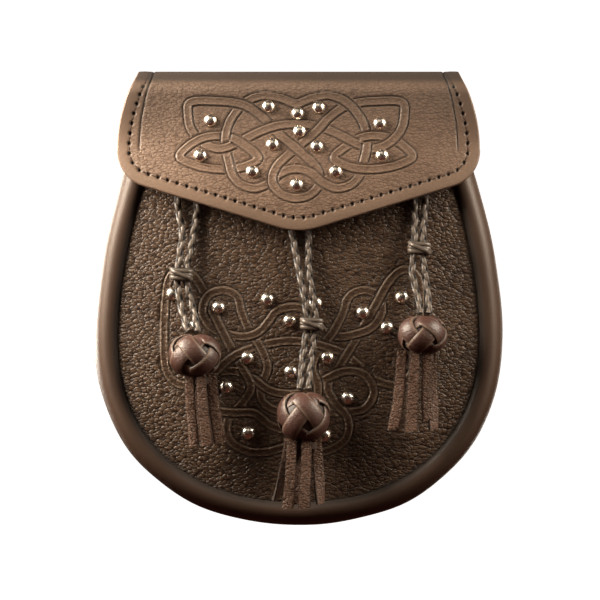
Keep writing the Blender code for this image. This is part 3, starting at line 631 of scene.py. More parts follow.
def over_and_under(bands):
    """For each band, its crossings in order as (segment, whether it lies on top there)."""
    visits = {k: [] for k in range(len(bands))}
    for number, (one, i, two, j) in enumerate(crossings(bands)):
        visits[one].append((i, number))
        visits[two].append((j, number))
    over = {}
    waiting = list(visits)
    while waiting:
        band = next((b for b in waiting if any(n in over for _, n in visits[b])), waiting[0])
        waiting.remove(band)
        order = sorted(visits[band])
        known = [k for k, (_, n) in enumerate(order) if n in over and over[n][0] != band]
        lift = 0
        if known:
            other_on_top = over[order[known[0]][1]][1]
            lift = known[0] if other_on_top else known[0] + 1
        for k, (_, number) in enumerate(order):
            over.setdefault(number, (band, (k + lift) % 2 == 1))
        visits[band] = [(at, (k + lift) % 2 == 1) for k, (at, _) in enumerate(order)]
    return visits


def woven_pieces(bands):
    """The bands cut halfway between crossings, as the pieces that lie over and those under."""
    pieces = {True: [], False: []}
    for band, order in over_and_under(bands).items():
        line = bands[band]
        size = len(line)
        if not order:
            pieces[True].append(np.vstack([line, line[:1]]))
            continue
        places = [at for at, _ in order]
        for k, (at, on_top) in enumerate(order):
            before = places[k - 1] - (size if k == 0 else 0)
            after = places[(k + 1) % len(places)] + (size if k + 1 == len(places) else 0)
            start, end = (before + at) // 2, (at + after) // 2
            pieces[on_top].append(line[np.arange(start, end + 1) % size])
    return pieces


def distance_to(points, lines, reach):
    """Each point's distance to the nearest line, counting only places beside a line, not past its
    ends, and only up to reach."""
    nearest = np.full(len(points), reach)
    for line in lines:
        low, high = line.min(axis=0) - reach, line.max(axis=0) + reach
        close = np.flatnonzero(np.all((points > low) & (points < high), axis=1))
        near = points[close]
        best = np.full(len(near), reach)
        past_end = np.zeros(len(near), bool)
        for k, (a, b) in enumerate(zip(line, line[1:])):
            step = b - a
            share = (near - a) @ step / max(step @ step, 1e-16)
            past = ((k == 0) & (share < 0)) | ((k == len(line) - 2) & (share > 1))
            gap = np.linalg.norm(near - a - np.clip(share, 0, 1)[:, None] * step, axis=1)
            past_end = np.where(gap < best, past, past_end)
            best = np.minimum(best, gap)
        nearest[close] = np.minimum(nearest[close], np.where(past_end, reach, best))
    return nearest


def pressed(points, bands):
    """The height of the pressed bands at each point, and its shares of a groove, a band and a lip."""
    pieces = woven_pieces(bands)
    above = distance_to(points, pieces[True], BAND_REACH)
    below = distance_to(points, pieces[False], BAND_REACH)
    gap = np.where(above < BAND_REACH, above, below) - BAND_HALF_WIDTH
    groove = bell(gap, 0.30 * MM, 0.32 * MM)
    lip = bell(gap, -0.35 * MM, 0.34 * MM)
    on_band = 1 - smoothstep(-0.55 * MM, 0.1 * MM, gap)
    return BAND_HEIGHT * on_band + LIP_HEIGHT * lip - GROOVE_DEPTH * groove, groove, on_band, lip


# Materials

# The colour of painted highlights on ridges and lips, and of wear on edges
WEAR_AND_HIGHLIGHT_COLOUR = (0.20, 0.135, 0.090)
# The near-black of painted shade in recesses, seams and gaps
PAINTED_SHADE_COLOUR = (0.007, 0.004, 0.003)
SHEEN_TINT = (1.0, 0.88, 0.76)
PEBBLE_TURN = (0.0, math.radians(35), 0.0)
PEBBLE_STRETCH = (0.72, 1.0, 1.18)


def new_material(name):
    """A material as (material, its nodes, its main shader)."""
    material = bpy.data.materials.new(name)
    material.use_nodes = True
    return material, material.node_tree, material.node_tree.nodes["Principled BSDF"]


def new_node(tree, kind, inputs=None, **settings):
    node = tree.nodes.new(kind)
    for key, value in settings.items():
        setattr(node, key, value)
    for key, value in (inputs or {}).items():
        if isinstance(value, bpy.types.NodeSocket):
            tree.links.new(value, node.inputs[key])
        else:
            node.inputs[key].default_value = value
    return node


def product(tree, first, second):
    return new_node(tree, "ShaderNodeMath", {0: first, 1: second}, operation="MULTIPLY").outputs[0]


def total(tree, first, second, clamp=False):
    node = new_node(tree, "ShaderNodeMath", {0: first, 1: second}, operation="ADD", use_clamp=clamp)
    return node.outputs[0]


def mix_colours(tree, share, first, second):
    ends = [end if isinstance(end, bpy.types.NodeSocket) else (*end, 1) for end in (first, second)]
    node = new_node(tree, "ShaderNodeMix", {0: share, 6: ends[0], 7: ends[1]}, data_type="RGBA")
    return node.outputs[2]


def ranged(tree, value, limits, **settings):
    """A value moved from one range to another."""
    return new_node(tree, "ShaderNodeMapRange", {"Value": value, **limits}, **settings).outputs[0]


def object_place(tree):
    return new_node(tree, "ShaderNodeTexCoord").outputs["Object"]


def field(tree, name):
    """A field that the mesh stores on its points."""
    return new_node(tree, "ShaderNodeAttribute", attribute_name=name).outputs["Fac"]


def noise(tree, place, scale, detail):
    return new_node(tree, "ShaderNodeTexNoise", {"Vector": place, "Scale": scale, "Detail": detail})


def pebbles(tree, place, grain):
    """How far a place is down the side of its pebble, below 0, and from the gaps, up to 1."""
    turned = {"Vector": place, "Rotation": PEBBLE_TURN, "Scale": PEBBLE_STRETCH}
    drawn = new_node(tree, "ShaderNodeMapping", turned).outputs[0]
    wander = noise(tree, drawn, 0.5 / grain, 2.0).outputs["Color"]
    aside = {0: wander, 3: 1.3 * grain}
    shift = new_node(tree, "ShaderNodeVectorMath", aside, operation="SCALE").outputs[0]
    warped = new_node(tree, "ShaderNodeVectorMath", {0: drawn, 1: shift}, operation="ADD").outputs[0]
    cell = {"Vector": warped, "Scale": 1 / grain}
    middle = new_node(tree, "ShaderNodeTexVoronoi", cell).outputs["Distance"]
    gaps = new_node(tree, "ShaderNodeTexVoronoi", cell, feature="DISTANCE_TO_EDGE").outputs["Distance"]
    rounded = ranged(tree, gaps, {"From Max": 0.16}, interpolation_type="SMOOTHSTEP")
    return product(tree, product(tree, middle, middle), -1.5), rounded


def leather(name, dark, light, grain, depth, roughness, coat):
    """Leather with a pebbled grain. Grain is the size of a pebble and depth the height of one, in
    millimetres. The fields on the points say where it is grained, where shade is painted dark into
    recesses, seams and gaps, and where it is worn and painted lighter as a highlight on ridges."""
    material, tree, shader = new_material(name)
    grain = grain * MM
    place = object_place(tree)
    grained = field(tree, "grain")
    painted_shade = field(tree, "painted_shade")
    bowl, rounded = pebbles(tree, place, grain)
    fine = noise(tree, place, 5.0 / grain, 4.0).outputs[0]
    broad = noise(tree, place, 26.0, 3.0).outputs[0]
    pebbled = product(tree, total(tree, bowl, product(tree, rounded, 0.35)), grained)
    height = total(tree, pebbled, product(tree, fine, 0.14))
    bump = new_node(tree, "ShaderNodeBump", {"Height": height, "Distance": depth * MM, "Strength": 1.0})
    tops = product(tree, rounded, total(tree, bowl, 1.0, clamp=True))
    half_light = tuple((a + 2 * b) / 3 for a, b in zip(dark, light))
    plain = mix_colours(tree, fine, dark, half_light)
    base = mix_colours(tree, grained, plain, mix_colours(tree, tops, dark, light))
    tone = ranged(tree, broad, {"From Min": 0.38, "From Max": 0.66})
    deeper = tuple(0.7 * channel for channel in dark)
    toned = mix_colours(tree, product(tree, tone, 0.40), base, deeper)
    # Painted highlight on raised lips and edges, together with wear, lightens the colour here
    worn = mix_colours(tree, product(tree, field(tree, "wear_and_highlight"), 0.6), toned, WEAR_AND_HIGHLIGHT_COLOUR)
    gloss = ranged(tree, fine, {"To Min": roughness - 0.07, "To Max": roughness + 0.10})
    dulled = total(tree, gloss, product(tree, painted_shade, 0.35), clamp=True)
    # Painted shade: the colour goes towards near-black wherever the shade field is set
    tree.links.new(mix_colours(tree, painted_shade, worn, PAINTED_SHADE_COLOUR), shader.inputs["Base Color"])
    tree.links.new(dulled, shader.inputs["Roughness"])
    tree.links.new(bump.outputs[0], shader.inputs["Normal"])
    shader.inputs["Specular IOR Level"].default_value = 0.42
    shader.inputs["Specular Tint"].default_value = (*SHEEN_TINT, 1)
    shader.inputs["Coat Weight"].default_value = coat
    shader.inputs["Coat Roughness"].default_value = 0.35
    return material


def metal(name, colour, roughness):
    """Polished plate with faint handling marks."""
    material, tree, shader = new_material(name)
    marks = noise(tree, object_place(tree), 900.0, 4.0).outputs[0]
    worn = tuple(0.78 * channel for channel in colour)
    tree.links.new(mix_colours(tree, marks, colour, worn), shader.inputs["Base Color"])
    gloss = ranged(tree, marks, {"To Min": roughness * 0.6, "To Max": roughness * 1.5})
    tree.links.new(gloss, shader.inputs["Roughness"])
    shader.inputs["Metallic"].default_value = 1.0
    return material


LEATHERS = {
    # name: slot, dark, light, grain, depth, roughness, coat
    "grained_leather": (
        "grained_leather", (0.100, 0.059, 0.038), (0.188, 0.118, 0.078), 1.30, 0.120, 0.47, 0.1,
    ),
    # Painted shade: a darker copy of the grained leather for the front panel, sharing its slot
    "shaded_panel_leather": (
        "grained_leather", (0.018, 0.008, 0.004), (0.080, 0.043, 0.022), 1.60, 0.25, 0.42, 0.1,
    ),
    "smooth_leather": (
        "smooth_leather", (0.030, 0.014, 0.008), (0.064, 0.034, 0.019), 0.9, 0.14, 0.54, 0.1,
    ),
    "lace_leather": (
        "lace_leather", (0.072, 0.051, 0.036), (0.176, 0.136, 0.104), 0.7, 0.05, 0.42, 0.35,
    ),
    "knot_leather": (
        "smooth_leather", (0.036, 0.012, 0.008), (0.078, 0.034, 0.023), 0.9, 0.12, 0.46, 0.25,
    ),
    "waxed_thread": (
        "lace_leather", (0.016, 0.008, 0.005), (0.040, 0.020, 0.012), 0.3, 0.05, 0.85, 0.0,
    ),
    "tassel_leather": (
        "smooth_leather", (0.046, 0.020, 0.011), (0.150, 0.080, 0.050), 1.05, 0.17, 0.45, 0.1,
    ),
}
FINISHES = {name: (leather(name, *look), slot) for name, (slot, *look) in LEATHERS.items()}
FINISHES["polished_nickel"] = (metal("polished_nickel", (0.95, 0.84, 0.72), 0.24), "polished_nickel")


# Camera

IMAGE_WIDTH = 600
METRES_PER_PIXEL = 0.4376 * MM
MIDDLE_PIXEL = (298.5, 70.0)
SENSOR_WIDTH = 36.0
CAMERA_DISTANCE = 1.30
CAMERA_RISE = math.radians(1.5)


def make_camera():
    """A long lens that frames the pouch as the photograph does."""
    look_x = (IMAGE_WIDTH / 2 - MIDDLE_PIXEL[0]) * METRES_PER_PIXEL
    look_z = TOP_Z - (IMAGE_WIDTH / 2 - MIDDLE_PIXEL[1]) * METRES_PER_PIXEL
    target = Vector((look_x, ridge_y(WIDEST_Z), look_z))
    back = Vector((0, -math.cos(CAMERA_RISE), math.sin(CAMERA_RISE)))
    data = bpy.data.cameras.new("camera")
    data.sensor_width = SENSOR_WIDTH
    data.lens = SENSOR_WIDTH * CAMERA_DISTANCE / (IMAGE_WIDTH * METRES_PER_PIXEL)
    camera = bpy.data.objects.new("camera", data)
    camera.location = target + back * CAMERA_DISTANCE
    face_along(camera, -back)
    bpy.context.scene.camera = camera


def face_along(thing, direction):
    """Turns a camera or light to look in a direction, and puts it in the scene."""
    thing.rotation_mode = "QUATERNION"
    thing.rotation_quaternion = direction.to_track_quat("-Z", "Y")
    bpy.context.scene.collection.objects.link(thing)


# Cords

STRANDS = 3
STRAND_WIDTH = 1.9 * MM
STRAND_THICKNESS = 1.15 * MM
STRAND_SIDES = 16
PLAIT_REACH = 0.62 * MM
PLAIT_LIFT = 0.68 * MM
PLAIT_LENGTH = 20.4 * MM
SECOND_PLAIT_START = 1.6
CORD_STEP = 0.45 * MM
# Painted shade at a tube's two end points: fully dark
TUBE_END_SHADE = (1.0, 1.0)


def on_route(row):
    """The middle of a pair of cords at a row of its route."""
    across, down, lift, _ = row
    z = TOP_Z - down
    return np.array([across, float(panel_y(across, z)) - lift * CORD_DIAMETER, z])


def cord_line(route, side):
    """One cord of a pair as evenly spaced points: side is -1 or 1."""
    points = [on_route(row) + (side * row[3] * CORD_DIAMETER, 0, 0) for row in route]
    dense = catmull_rom(points, False, steps=20)
    length = float(run_along(dense)[-1])
    line, _ = resample(dense, max(8, round(length / CORD_STEP)))
    return line, length


def dark_sides(sides, rings):
    """The painted shade field of a tube whose two sides are painted dark, as shade where two laces press
    together.
    """
    return np.tile(smoothstep(0.52, 0.90, np.abs(np.cos(round_turns(sides)))), rings)


def plait(line, length, side):
    """Three strands that swing across one another in turn, as a mesh and its painted shade field."""
    tangent = unit(np.gradient(line, axis=0))
    across = unit(np.cross(tangent, TO_VIEWER))
    forward = unit(np.cross(across, tangent))
    run = np.linspace(0, length, len(line))
    start = SECOND_PLAIT_START if side > 0 else 0.0
    strands, painted_shades = [], []
    for strand in range(STRANDS):
        turn = WHOLE * (run / PLAIT_LENGTH + strand / STRANDS) + start
        swing = PLAIT_REACH * np.sin(turn)[:, None] * across
        raised = side * np.sin(2 * turn)
        lift = PLAIT_LIFT * raised[:, None] * forward
        strands.append(tube(line + swing + lift, STRAND_WIDTH, STRAND_THICKNESS, forward, STRAND_SIDES))
        # Painted shade: each strand is painted dark where it passes under the others, and along its sides
        recess = np.repeat(smoothstep(0.45, -0.15, raised), STRAND_SIDES)
        painted_shades += [np.maximum(recess, dark_sides(STRAND_SIDES, len(line))), TUBE_END_SHADE]
    return joined(strands), np.concatenate(painted_shades)


def make_cords(name, route):
    """A pair of plaited cords, each as (piece, its middle line, its length)."""
    cords = []
    for letter, side in (("a", -1), ("b", 1)):
        line, length = cord_line(route, side)
        shape, painted_shade = plait(line, length, side)
        cord = add_piece(
            f"{name}_plaited_cord_{letter}",
            shape,
            "lace_leather",
            [f"{name}_cord_{letter}"],
            {"painted_shade": painted_shade},
        )
        cords.append((cord, line, length))
    return cords


KNOT_WALL = 1.5 * MM
KNOT_TURNS = 3
KNOT_STEPS = 40
KNOT_SIDES = 10
KNOT_SQUARENESS = 0.72
CROSSING_WIDTH = 2.0 * MM


def make_slide_knot(name, route, row):
    """Lace wound round a pair of cords, with one turn crossing over the others in front."""
    before, after = route[row - 1], route[row + 1]
    lean = math.atan2(before[0] - after[0], after[1] - before[1])
    half_x = (route[row][3] + 0.5) * CORD_DIAMETER + KNOT_EASE * 0.45 + KNOT_WALL / 2
    half_y = CORD_DIAMETER / 2 + KNOT_EASE * 0.5 + KNOT_WALL / 2
    share = np.linspace(0, 1, KNOT_STEPS * KNOT_TURNS + 1)
    turn = WHOLE * KNOT_TURNS * share + QUARTER
    wound_x = drawn_out(np.cos(turn), KNOT_SQUARENESS) * half_x
    wound_y = drawn_out(np.sin(turn), KNOT_SQUARENESS) * half_y
    coil = np.column_stack([wound_x, wound_y, (0.5 - share) * (KNOT_LENGTH - KNOT_WALL)])
    slant = np.linspace(-1, 1, 30)
    bow = -(half_y + KNOT_WALL * 0.75) * np.sqrt(1 - 0.75 * slant**4)
    crossing = np.column_stack([slant * half_x * 0.92, bow, -slant * KNOT_LENGTH * 0.26])
    winding = tube(coil, KNOT_LENGTH / KNOT_TURNS * 1.05, KNOT_WALL, coil * (1, 1, 0), KNOT_SIDES)
    points, faces = joined([winding, tube(crossing, CROSSING_WIDTH, KNOT_WALL * 0.8, TO_VIEWER, KNOT_SIDES)])
    x, y, z = points.T
    cosine, sine = math.cos(lean), math.sin(lean)
    turned = np.column_stack([x * cosine + z * sine, y, z * cosine - x * sine]) + on_route(route[row])
    painted_shades = []
    # Painted shade along both sides of every turn of lace, where the turns press together
    for path in (coil, crossing):
        painted_shades += [dark_sides(KNOT_SIDES, len(path)), TUBE_END_SHADE]
    return add_piece(
        f"{name}_wrapped_knot",
        (turned, faces),
        "lace_leather",
        [f"{name}_slide_knot"],
        {"painted_shade": np.concatenate(painted_shades)},
    )


# Knotted heads

BAND_WIDTH = 7.6 * MM
BAND_THICKNESS = 1.4 * MM
BAND_SIDES = 24
BAND_STEPS = 360
BAND_LATITUDE = math.radians(58)
HEAD_LEADS = 3
HEAD_BIGHTS = 4
CORE_SIDES = 32
CORE_LEVELS = 18


def head_place(route, width_share, height_share, aside):
    across, down, _, _ = route[-1]
    z = TOP_Z - down - HEAD_GAP - HEAD_HEIGHT * height_share / 2
    y = float(panel_y(across, z)) - HEAD_DEPTH * width_share / 2 - EASE_GAP
    return np.array([across + aside, y, z])


def on_ball(level, turn):
    """Places on a ball of radius 1."""
    across = np.cos(level) * np.cos(turn)
    return np.stack([across, np.cos(level) * np.sin(turn), np.sin(level) + 0 * across], axis=-1)


def band_section():
    """The flat band's section as distances aside and outward, bent to hug the ball."""
    turns = round_turns(BAND_SIDES, 0.5)
    aside = drawn_out(np.cos(turns), 0.6) * BAND_WIDTH / 2
    outward = drawn_out(np.sin(turns), 0.8) * BAND_THICKNESS / 2
    return aside, outward - 2.1 * (aside / BAND_WIDTH) ** 2 * BAND_THICKNESS


def make_woven_head(name, place, half, start):
    """A ball of one flat band that goes round three times, over and under itself."""
    s = np.linspace(0, WHOLE * HEAD_BIGHTS, BAND_STEPS + 1)[:-1]
    ball = on_ball(BAND_LATITUDE * np.cos(s), s * HEAD_LEADS / HEAD_BIGHTS + start)
    lift = 0.55 * BAND_THICKNESS * np.sin(2 * s)
    outward = unit(ball / half)
    path = ball * half + outward * lift[:, None]
    tangent = unit(np.roll(path, -1, axis=0) - np.roll(path, 1, axis=0))
    side = unit(np.cross(tangent, outward))
    outward = np.cross(side, tangent)
    aside, out = band_section()
    points = path[:, None] + side[:, None] * aside[:, None] + outward[:, None] * out[:, None]
    index = grid_index(BAND_STEPS, BAND_SIDES)
    off_middle = np.abs(aside) / (BAND_WIDTH / 2)
    fields = {
        # Painted shade darkens the band's edges where it meets the core; just inside them it is painted
        # lighter as highlight and wear
        "painted_shade": np.tile(smoothstep(0.93, 1.0, off_middle) * 0.9, BAND_STEPS),
        "wear_and_highlight": np.tile(smoothstep(0.70, 0.86, off_middle) * 0.8, BAND_STEPS),
        "grain": np.full(index.size, 0.6),
    }
    shape = (points.reshape(-1, 3) + place, ring_faces(np.vstack([index, index[:1]])))
    return add_piece(f"{name}_woven_head", shape, "knot_leather", [f"{name}_turks_head"], fields)


def make_head_core(name, place, half):
    """The ball that shows between the turns of the band, painted dark as shade."""
    turn = round_turns(CORE_SIDES)
    level = np.linspace(-QUARTER, QUARTER, CORE_LEVELS)[1:-1]
    core = on_ball(level[:, None], turn[None]) * (half - BAND_THICKNESS * 0.35)
    index = grid_index(*core.shape[:2])
    ends = [index[0, ::-1].tolist(), index[-1].tolist()]
    shape = (core.reshape(-1, 3) + place, ring_faces(index) + ends)
    # The whole core is painted dark as shade between the band's turns
    return add_piece(f"{name}_head_core", shape, "knot_leather", fields={"painted_shade": np.full(index.size, 0.7)})


def make_head(name, place, width_share, height_share, start):
    half = np.array([HEAD_WIDTH * width_share, HEAD_DEPTH * width_share, HEAD_HEIGHT * height_share]) / 2
    half = half - BAND_THICKNESS * np.array([0.75, 0.75, 0.30])
    return [make_woven_head(name, place, half, start), make_head_core(name, place, half)]


# Tassel strips

STRIP_ROWS = 34
STRIP_COLUMNS = 11
STRIP_FULL_WIDTH = 0.95


def strip_section():
    """A strip's section, from -1 to 1 across and from its back to its front."""
    out = np.linspace(-1, 1, STRIP_COLUMNS)
    return np.concatenate([out, -out]), np.repeat((-1.0, 1.0), STRIP_COLUMNS)


def strip(row, top, chance):
    """One strip that bends, widens and turns a little on its way down, as rings of points."""
    head_across, end_across, head_forward, end_forward, width, turn, length = row
    share = np.linspace(0, 1, STRIP_ROWS)[:, None]
    bend = share**STRIP_BEND
    y = -STRIP_THICKNESS * (head_forward + (end_forward - head_forward) * bend)
    y = y + 0.35 * MM * np.sin(share * 5 + chance.uniform(0, 6)) * share
    x = STRIP_WIDTH * (head_across + (end_across - head_across) * bend)
    x = x + 0.22 * MM * np.sin(share * 6 + chance.uniform(0, 6)) * share
    z = top + STRIP_TUCK - (STRIP_LENGTH * length + STRIP_TUCK) * share
    curl = chance.uniform(-0.25, 0.35) * MM
    half = STRIP_WIDTH * STRIP_FULL_WIDTH * (STRIP_HEAD_SHARE + (width - STRIP_HEAD_SHARE) * share) / 2
    angle = math.radians(turn) * bend
    across, face = strip_section()
    squeeze = np.where(np.abs(across) > 0.99, 0.72, 1.0)
    out = across * half
    back = face * STRIP_THICKNESS / 2 * squeeze + curl * across**2 * share
    along_x = x + out * np.cos(angle) - back * np.sin(angle)
    along_y = y + out * np.sin(angle) + back * np.cos(angle)
    return np.stack([along_x, along_y, z + 0.3 * MM * np.sin(across * 2) * share], axis=-1)


def tassel_neck(strips, top):
    """The short core that the strips are gathered round."""
    across, forward = np.array(strips)[:, 0], np.array(strips)[:, 2]
    width = STRIP_WIDTH * (np.ptp(across) + STRIP_HEAD_SHARE) * 0.82
    depth = STRIP_THICKNESS * (np.ptp(forward) + 1) * 0.7
    x = STRIP_WIDTH * (across.max() + across.min()) / 2
    y = -STRIP_THICKNESS * (forward.max() + forward.min()) / 2
    path = [(x, y, top + TASSEL_CORE * rise) for rise in (0.33, 0.2, 0, -0.4, -0.62)]
    return tube(path, width, depth, TO_VIEWER, 20)


def make_strips(name, place, height_share, strips, seed):
    """A tassel's leather strips, each with a cut edge painted dark as shade, and the core inside them,
    painted dark as shade too.
    """
    chance = random.Random(seed)
    top = -HEAD_HEIGHT * height_share / 2 - TOUCH_GAP - TASSEL_CORE / 3
    inside = np.tile(np.where(np.abs(strip_section()[0]) > 0.99, 0.0, 1.0), STRIP_ROWS)
    parts = []
    for row in strips:
        rings = strip(row, top, chance)
        index = grid_index(*rings.shape[:2])
        ends = [index[0].tolist(), index[-1, ::-1].tolist()]
        parts.append((rings.reshape(-1, 3), ring_faces(index) + ends))
    grains = np.tile(inside, len(strips))
    neck = tassel_neck(strips, top)
    points, faces = joined([*parts, neck])
    fields = {
        "grain": grains,
        # Painted shade on the strips' cut edges, between the strips, and on the neck under the head
        "painted_shade": np.append(0.85 * (1 - grains), np.full(len(neck[0]), 0.6)),
    }
    return add_piece(
        f"{name}_tassel_strips", (points + place, faces), "tassel_leather", [f"{name}_tassel"], fields
    )


def make_tassels():
    for number, (name, row) in enumerate(TASSELS.items()):
        route, knot_row, width_share, height_share, aside, strips = row
        cords = make_cords(name, route)
        knot = make_slide_knot(name, route, knot_row)
        place = head_place(route, width_share, height_share, aside)
        head = make_head(name, place, width_share, height_share, 0.55 + 0.4 * number)
        tassel = make_strips(name, place, height_share, strips, 11 + number)


# Stitches


def make_stitches(name, places, along, away, length):
    """A row of thread stitches, each a short bowed capsule that dips into the leather at its ends."""
    share = np.linspace(-1, 1, 7)
    bow = STITCH_BOW * (1 - 2.2 * share**4)
    girth = STITCH_THREAD * 2 * np.sqrt(np.clip(1.08 - share**6, 0.1, 1))
    parts = []
    for place, direction, normal in zip(places, along, away):
        path = place + np.outer(share * length / 2, direction) + np.outer(bow, normal)
        parts.append(tube(path, girth, girth, normal, 8))
    add_piece(name, joined(parts), "waxed_thread")


# Flap


def flap_columns(cell, inset):
    """Places across the flap from right to left, closer together at its rounded corners."""
    half = FLAP_WIDTH / 2 - inset
    bend = half - (FLAP_CORNER_RADIUS - inset) * 0.95
    even = np.arange(0, bend, cell)
    corner = bend + (half - bend) * np.sin(np.linspace(0, QUARTER, round((half - bend) / cell * 1.3)))
    places = np.concatenate([even, corner[1:]]) / half
    return np.concatenate([places[:0:-1], -places])


def flap_grid(cell, inset):
    """The flap's outer face as a grid of points, and each point's run."""
    shares = flap_columns(cell, inset)
    end = flap_edge_drop(shares * (FLAP_WIDTH / 2 - inset), inset)
    lap_rows = max(3, round(FLAP_LAP / cell / 3))
    fold_rows = max(12, round(FOLD_RUN / cell / 1.5))
    front_rows = round((FLAP_DROP - FOLD_HEIGHT) / cell)
    fold_start = FOLD_HEIGHT - FOLD_RUN
    lap = np.linspace(fold_start - FLAP_LAP + inset, fold_start, lap_rows + 1)[:-1]
    fold = np.linspace(fold_start, FOLD_HEIGHT, fold_rows + 1)[:-1]
    behind = np.broadcast_to(np.concatenate([lap, fold]), (len(shares), lap_rows + fold_rows))
    front = FOLD_HEIGHT + (end[:, None] - FOLD_HEIGHT) * np.linspace(0, 1, front_rows + 1)
    run = np.hstack([behind, front])
    return flap_place(shares[:, None] + 0 * run, run, inset), run


def flap_outline(inset, step=1.0 * MM):
    """The flap's front edge, or a line set in from it, as flat points (x, drop): down the left side,
    round to the tip and up the right side."""
    across = np.sin(np.linspace(0, QUARTER, 160)) * (FLAP_WIDTH / 2 - inset)
    lower = np.column_stack([across, flap_edge_drop(across, inset)])
    side_drop = np.arange(lower[-1, 1] - step, -FOLD_RUN - FLAP_LAP, -step)
    right = np.vstack([lower, np.column_stack([flap_half_width(side_drop) - inset, side_drop])])
    return np.vstack([right[:0:-1] * (-1, 1), right])


def stitch_places():
    """Where the flap's stitches lie, as flat points, evenly spaced on both sides of the tip."""
    line = flap_outline(STITCH_INSET)
    middle = len(line) // 2
    places = []
    for half in (line[middle::-1], line[middle:]):
        run = run_along(half)
        places.append(read_line(half, run, np.arange(STITCH_PITCH / 2, run[-1], STITCH_PITCH)))
    return np.vstack([places[0][::-1], places[1]])


def stitch_holes(flat):
    """1 in the middle of each of the flap's stitch holes and 0 away from them."""
    holes = np.zeros(len(flat))
    for place in stitch_places():
        close = np.flatnonzero(np.all(np.abs(flat - place) < 2 * MM, axis=1))
        gap = np.linalg.norm(flat[close] - place, axis=1)
        holes[close] = np.maximum(holes[close], np.exp(-((gap / HOLE_RADIUS) ** 4)))
    return holes


def flap_relief(x, down):
    """How high the leather stands at each point of the flap's outer face, with its fields."""
    flat = np.column_stack([x, down])
    front = down > FOLD_HEIGHT * 0.4
    side = np.maximum(flap_half_width(np.clip(down, 0, None)) - np.abs(x), 0)
    lower = distance_to(flat, [flap_outline(0.0)], 14 * MM)
    lap_edge = down - (FOLD_HEIGHT - FOLD_RUN - FLAP_LAP)
    edge = np.minimum(np.where(front, np.minimum(side, lower), side), lap_edge)
    sewn = bell(edge, STITCH_INSET, 0.50 * MM)
    holes = stitch_holes(flat) * front
    wider = np.sin(np.clip(down / FLAP_SIDE_DROP, 0, 1) * QUARTER)
    set_in = SIDE_LINE_SET_IN + SIDE_LINE_SPREAD * wider
    fade = (1 - smoothstep(33 * MM, 37 * MM, down)) * smoothstep(-25 * MM, -15 * MM, down)
    side_line = bell(side, set_in, 0.36 * MM) * fade
    ornament = pressed(flat, closed_bands(FLAP_BANDS, FLAP_LEAVES, FLAP_ORNAMENT))
    raised, cut, on_band, lip = (np.where(front, share, 0) for share in ornament)
    height = BORDER_CROWN * np.sin(math.pi * np.clip(edge / STITCH_INSET, 0, 1)) + raised
    height -= SEWN_DEPTH * sewn + SIDE_LINE_DEPTH * side_line + HOLE_DEPTH * holes
    from_fold = np.abs(down - FOLD_MIDDLE) + FOLD_MIDDLE
    inner = 0.30 + 0.70 * smoothstep(STITCH_INSET - 0.4 * MM, STITCH_INSET + 1.0 * MM, edge)
    outside = 1 - smoothstep(set_in - 0.2 * MM, set_in + 0.6 * MM, side)
    grain = inner * (1 - 0.6 * outside * fade) * (1 - 0.3 * on_band) * (1 - 0.8 * cut)
    grain *= 0.35 + 0.65 * smoothstep(1 * MM, 7 * MM, from_fold)
    fold = 1 - smoothstep(1.5 * MM, 6 * MM, from_fold)
    near_fold = 1 - smoothstep(10 * MM, 40 * MM, down)
    # Painted shade in the pressed grooves, stitch holes, side lines and stitch row, over the fold, and more
    # towards the fold on the flap's upper part
    painted_shade = 0.7 * cut + holes + 0.8 * side_line + 0.15 * sewn + 0.46 * fold + 0.44 * near_fold
    # Lighter along the lower border outside the stitches
    lighter_border = 0.45 * (1 - smoothstep(STITCH_INSET - 1.6 * MM, STITCH_INSET - 0.6 * MM, edge))
    lighter_border *= smoothstep(20 * MM, 50 * MM, down)
    # The bands' raised lips get a painted highlight
    return height, {"grain": grain, "painted_shade": np.clip(painted_shade, 0, 1), "wear_and_highlight": np.maximum(0.7 * lip, lighter_border)}


def make_flap():
    grid, run = flap_grid(FLAP_CELL, FLAP_EDGE_ROUND)
    height, fields = flap_relief(grid[..., 0].ravel(), run.ravel())
    lining, _ = flap_grid(FLAP_LINING_CELL, FLAP_EDGE_ROUND)
    face = grid + grid_normals(grid) * height.reshape(run.shape)[..., None]
    shape = slab(face, lining, FLAP_THICKNESS, soft_edge(FLAP_EDGE_ROUND, FLAP_THICKNESS))
    add_piece("embossed_flap", shape, "grained_leather", ["flap"], fields)


def make_flap_stitches():
    places = stitch_places()
    middles, steps = (places[1:] + places[:-1]) / 2, places[1:] - places[:-1]
    shares = middles[:, 0] / flap_half_width(np.clip(middles[:, 1], 0, None))
    inside = np.array([0, (BACK_FACE + flap_y(0.0, FOLD_HEIGHT)) / 2, TOP_Z - FOLD_HEIGHT])
    ahead = 0.5 * MM
    points, along, away = [], [], []
    for run, share, step in zip(middles[:, 1], shares, steps):
        if np.linalg.norm(step) >= STITCH_PITCH * 1.2:
            continue
        here = flap_place(share, run)
        down = unit(flap_place(share, run + ahead) - here)
        across = unit(flap_place(share + ahead / (FLAP_WIDTH / 2), run) - here)
        normal = unit(np.cross(across, down))
        outward = TO_VIEWER if run > FOLD_HEIGHT else (here - inside) * (0, 1, 1)
        if normal @ outward < 0:
            normal = -normal
        points.append(here - normal * STITCH_SINK)
        along.append(unit(across * step[0] + down * step[1]))
        away.append(normal)
    make_stitches("flap_stitches", points, along, away, STITCH_PITCH * 0.48)


# Front and back panels

BACK_EDGE_ROUND = 0.7 * MM
BACK_STITCH_INSET = 3.6 * MM


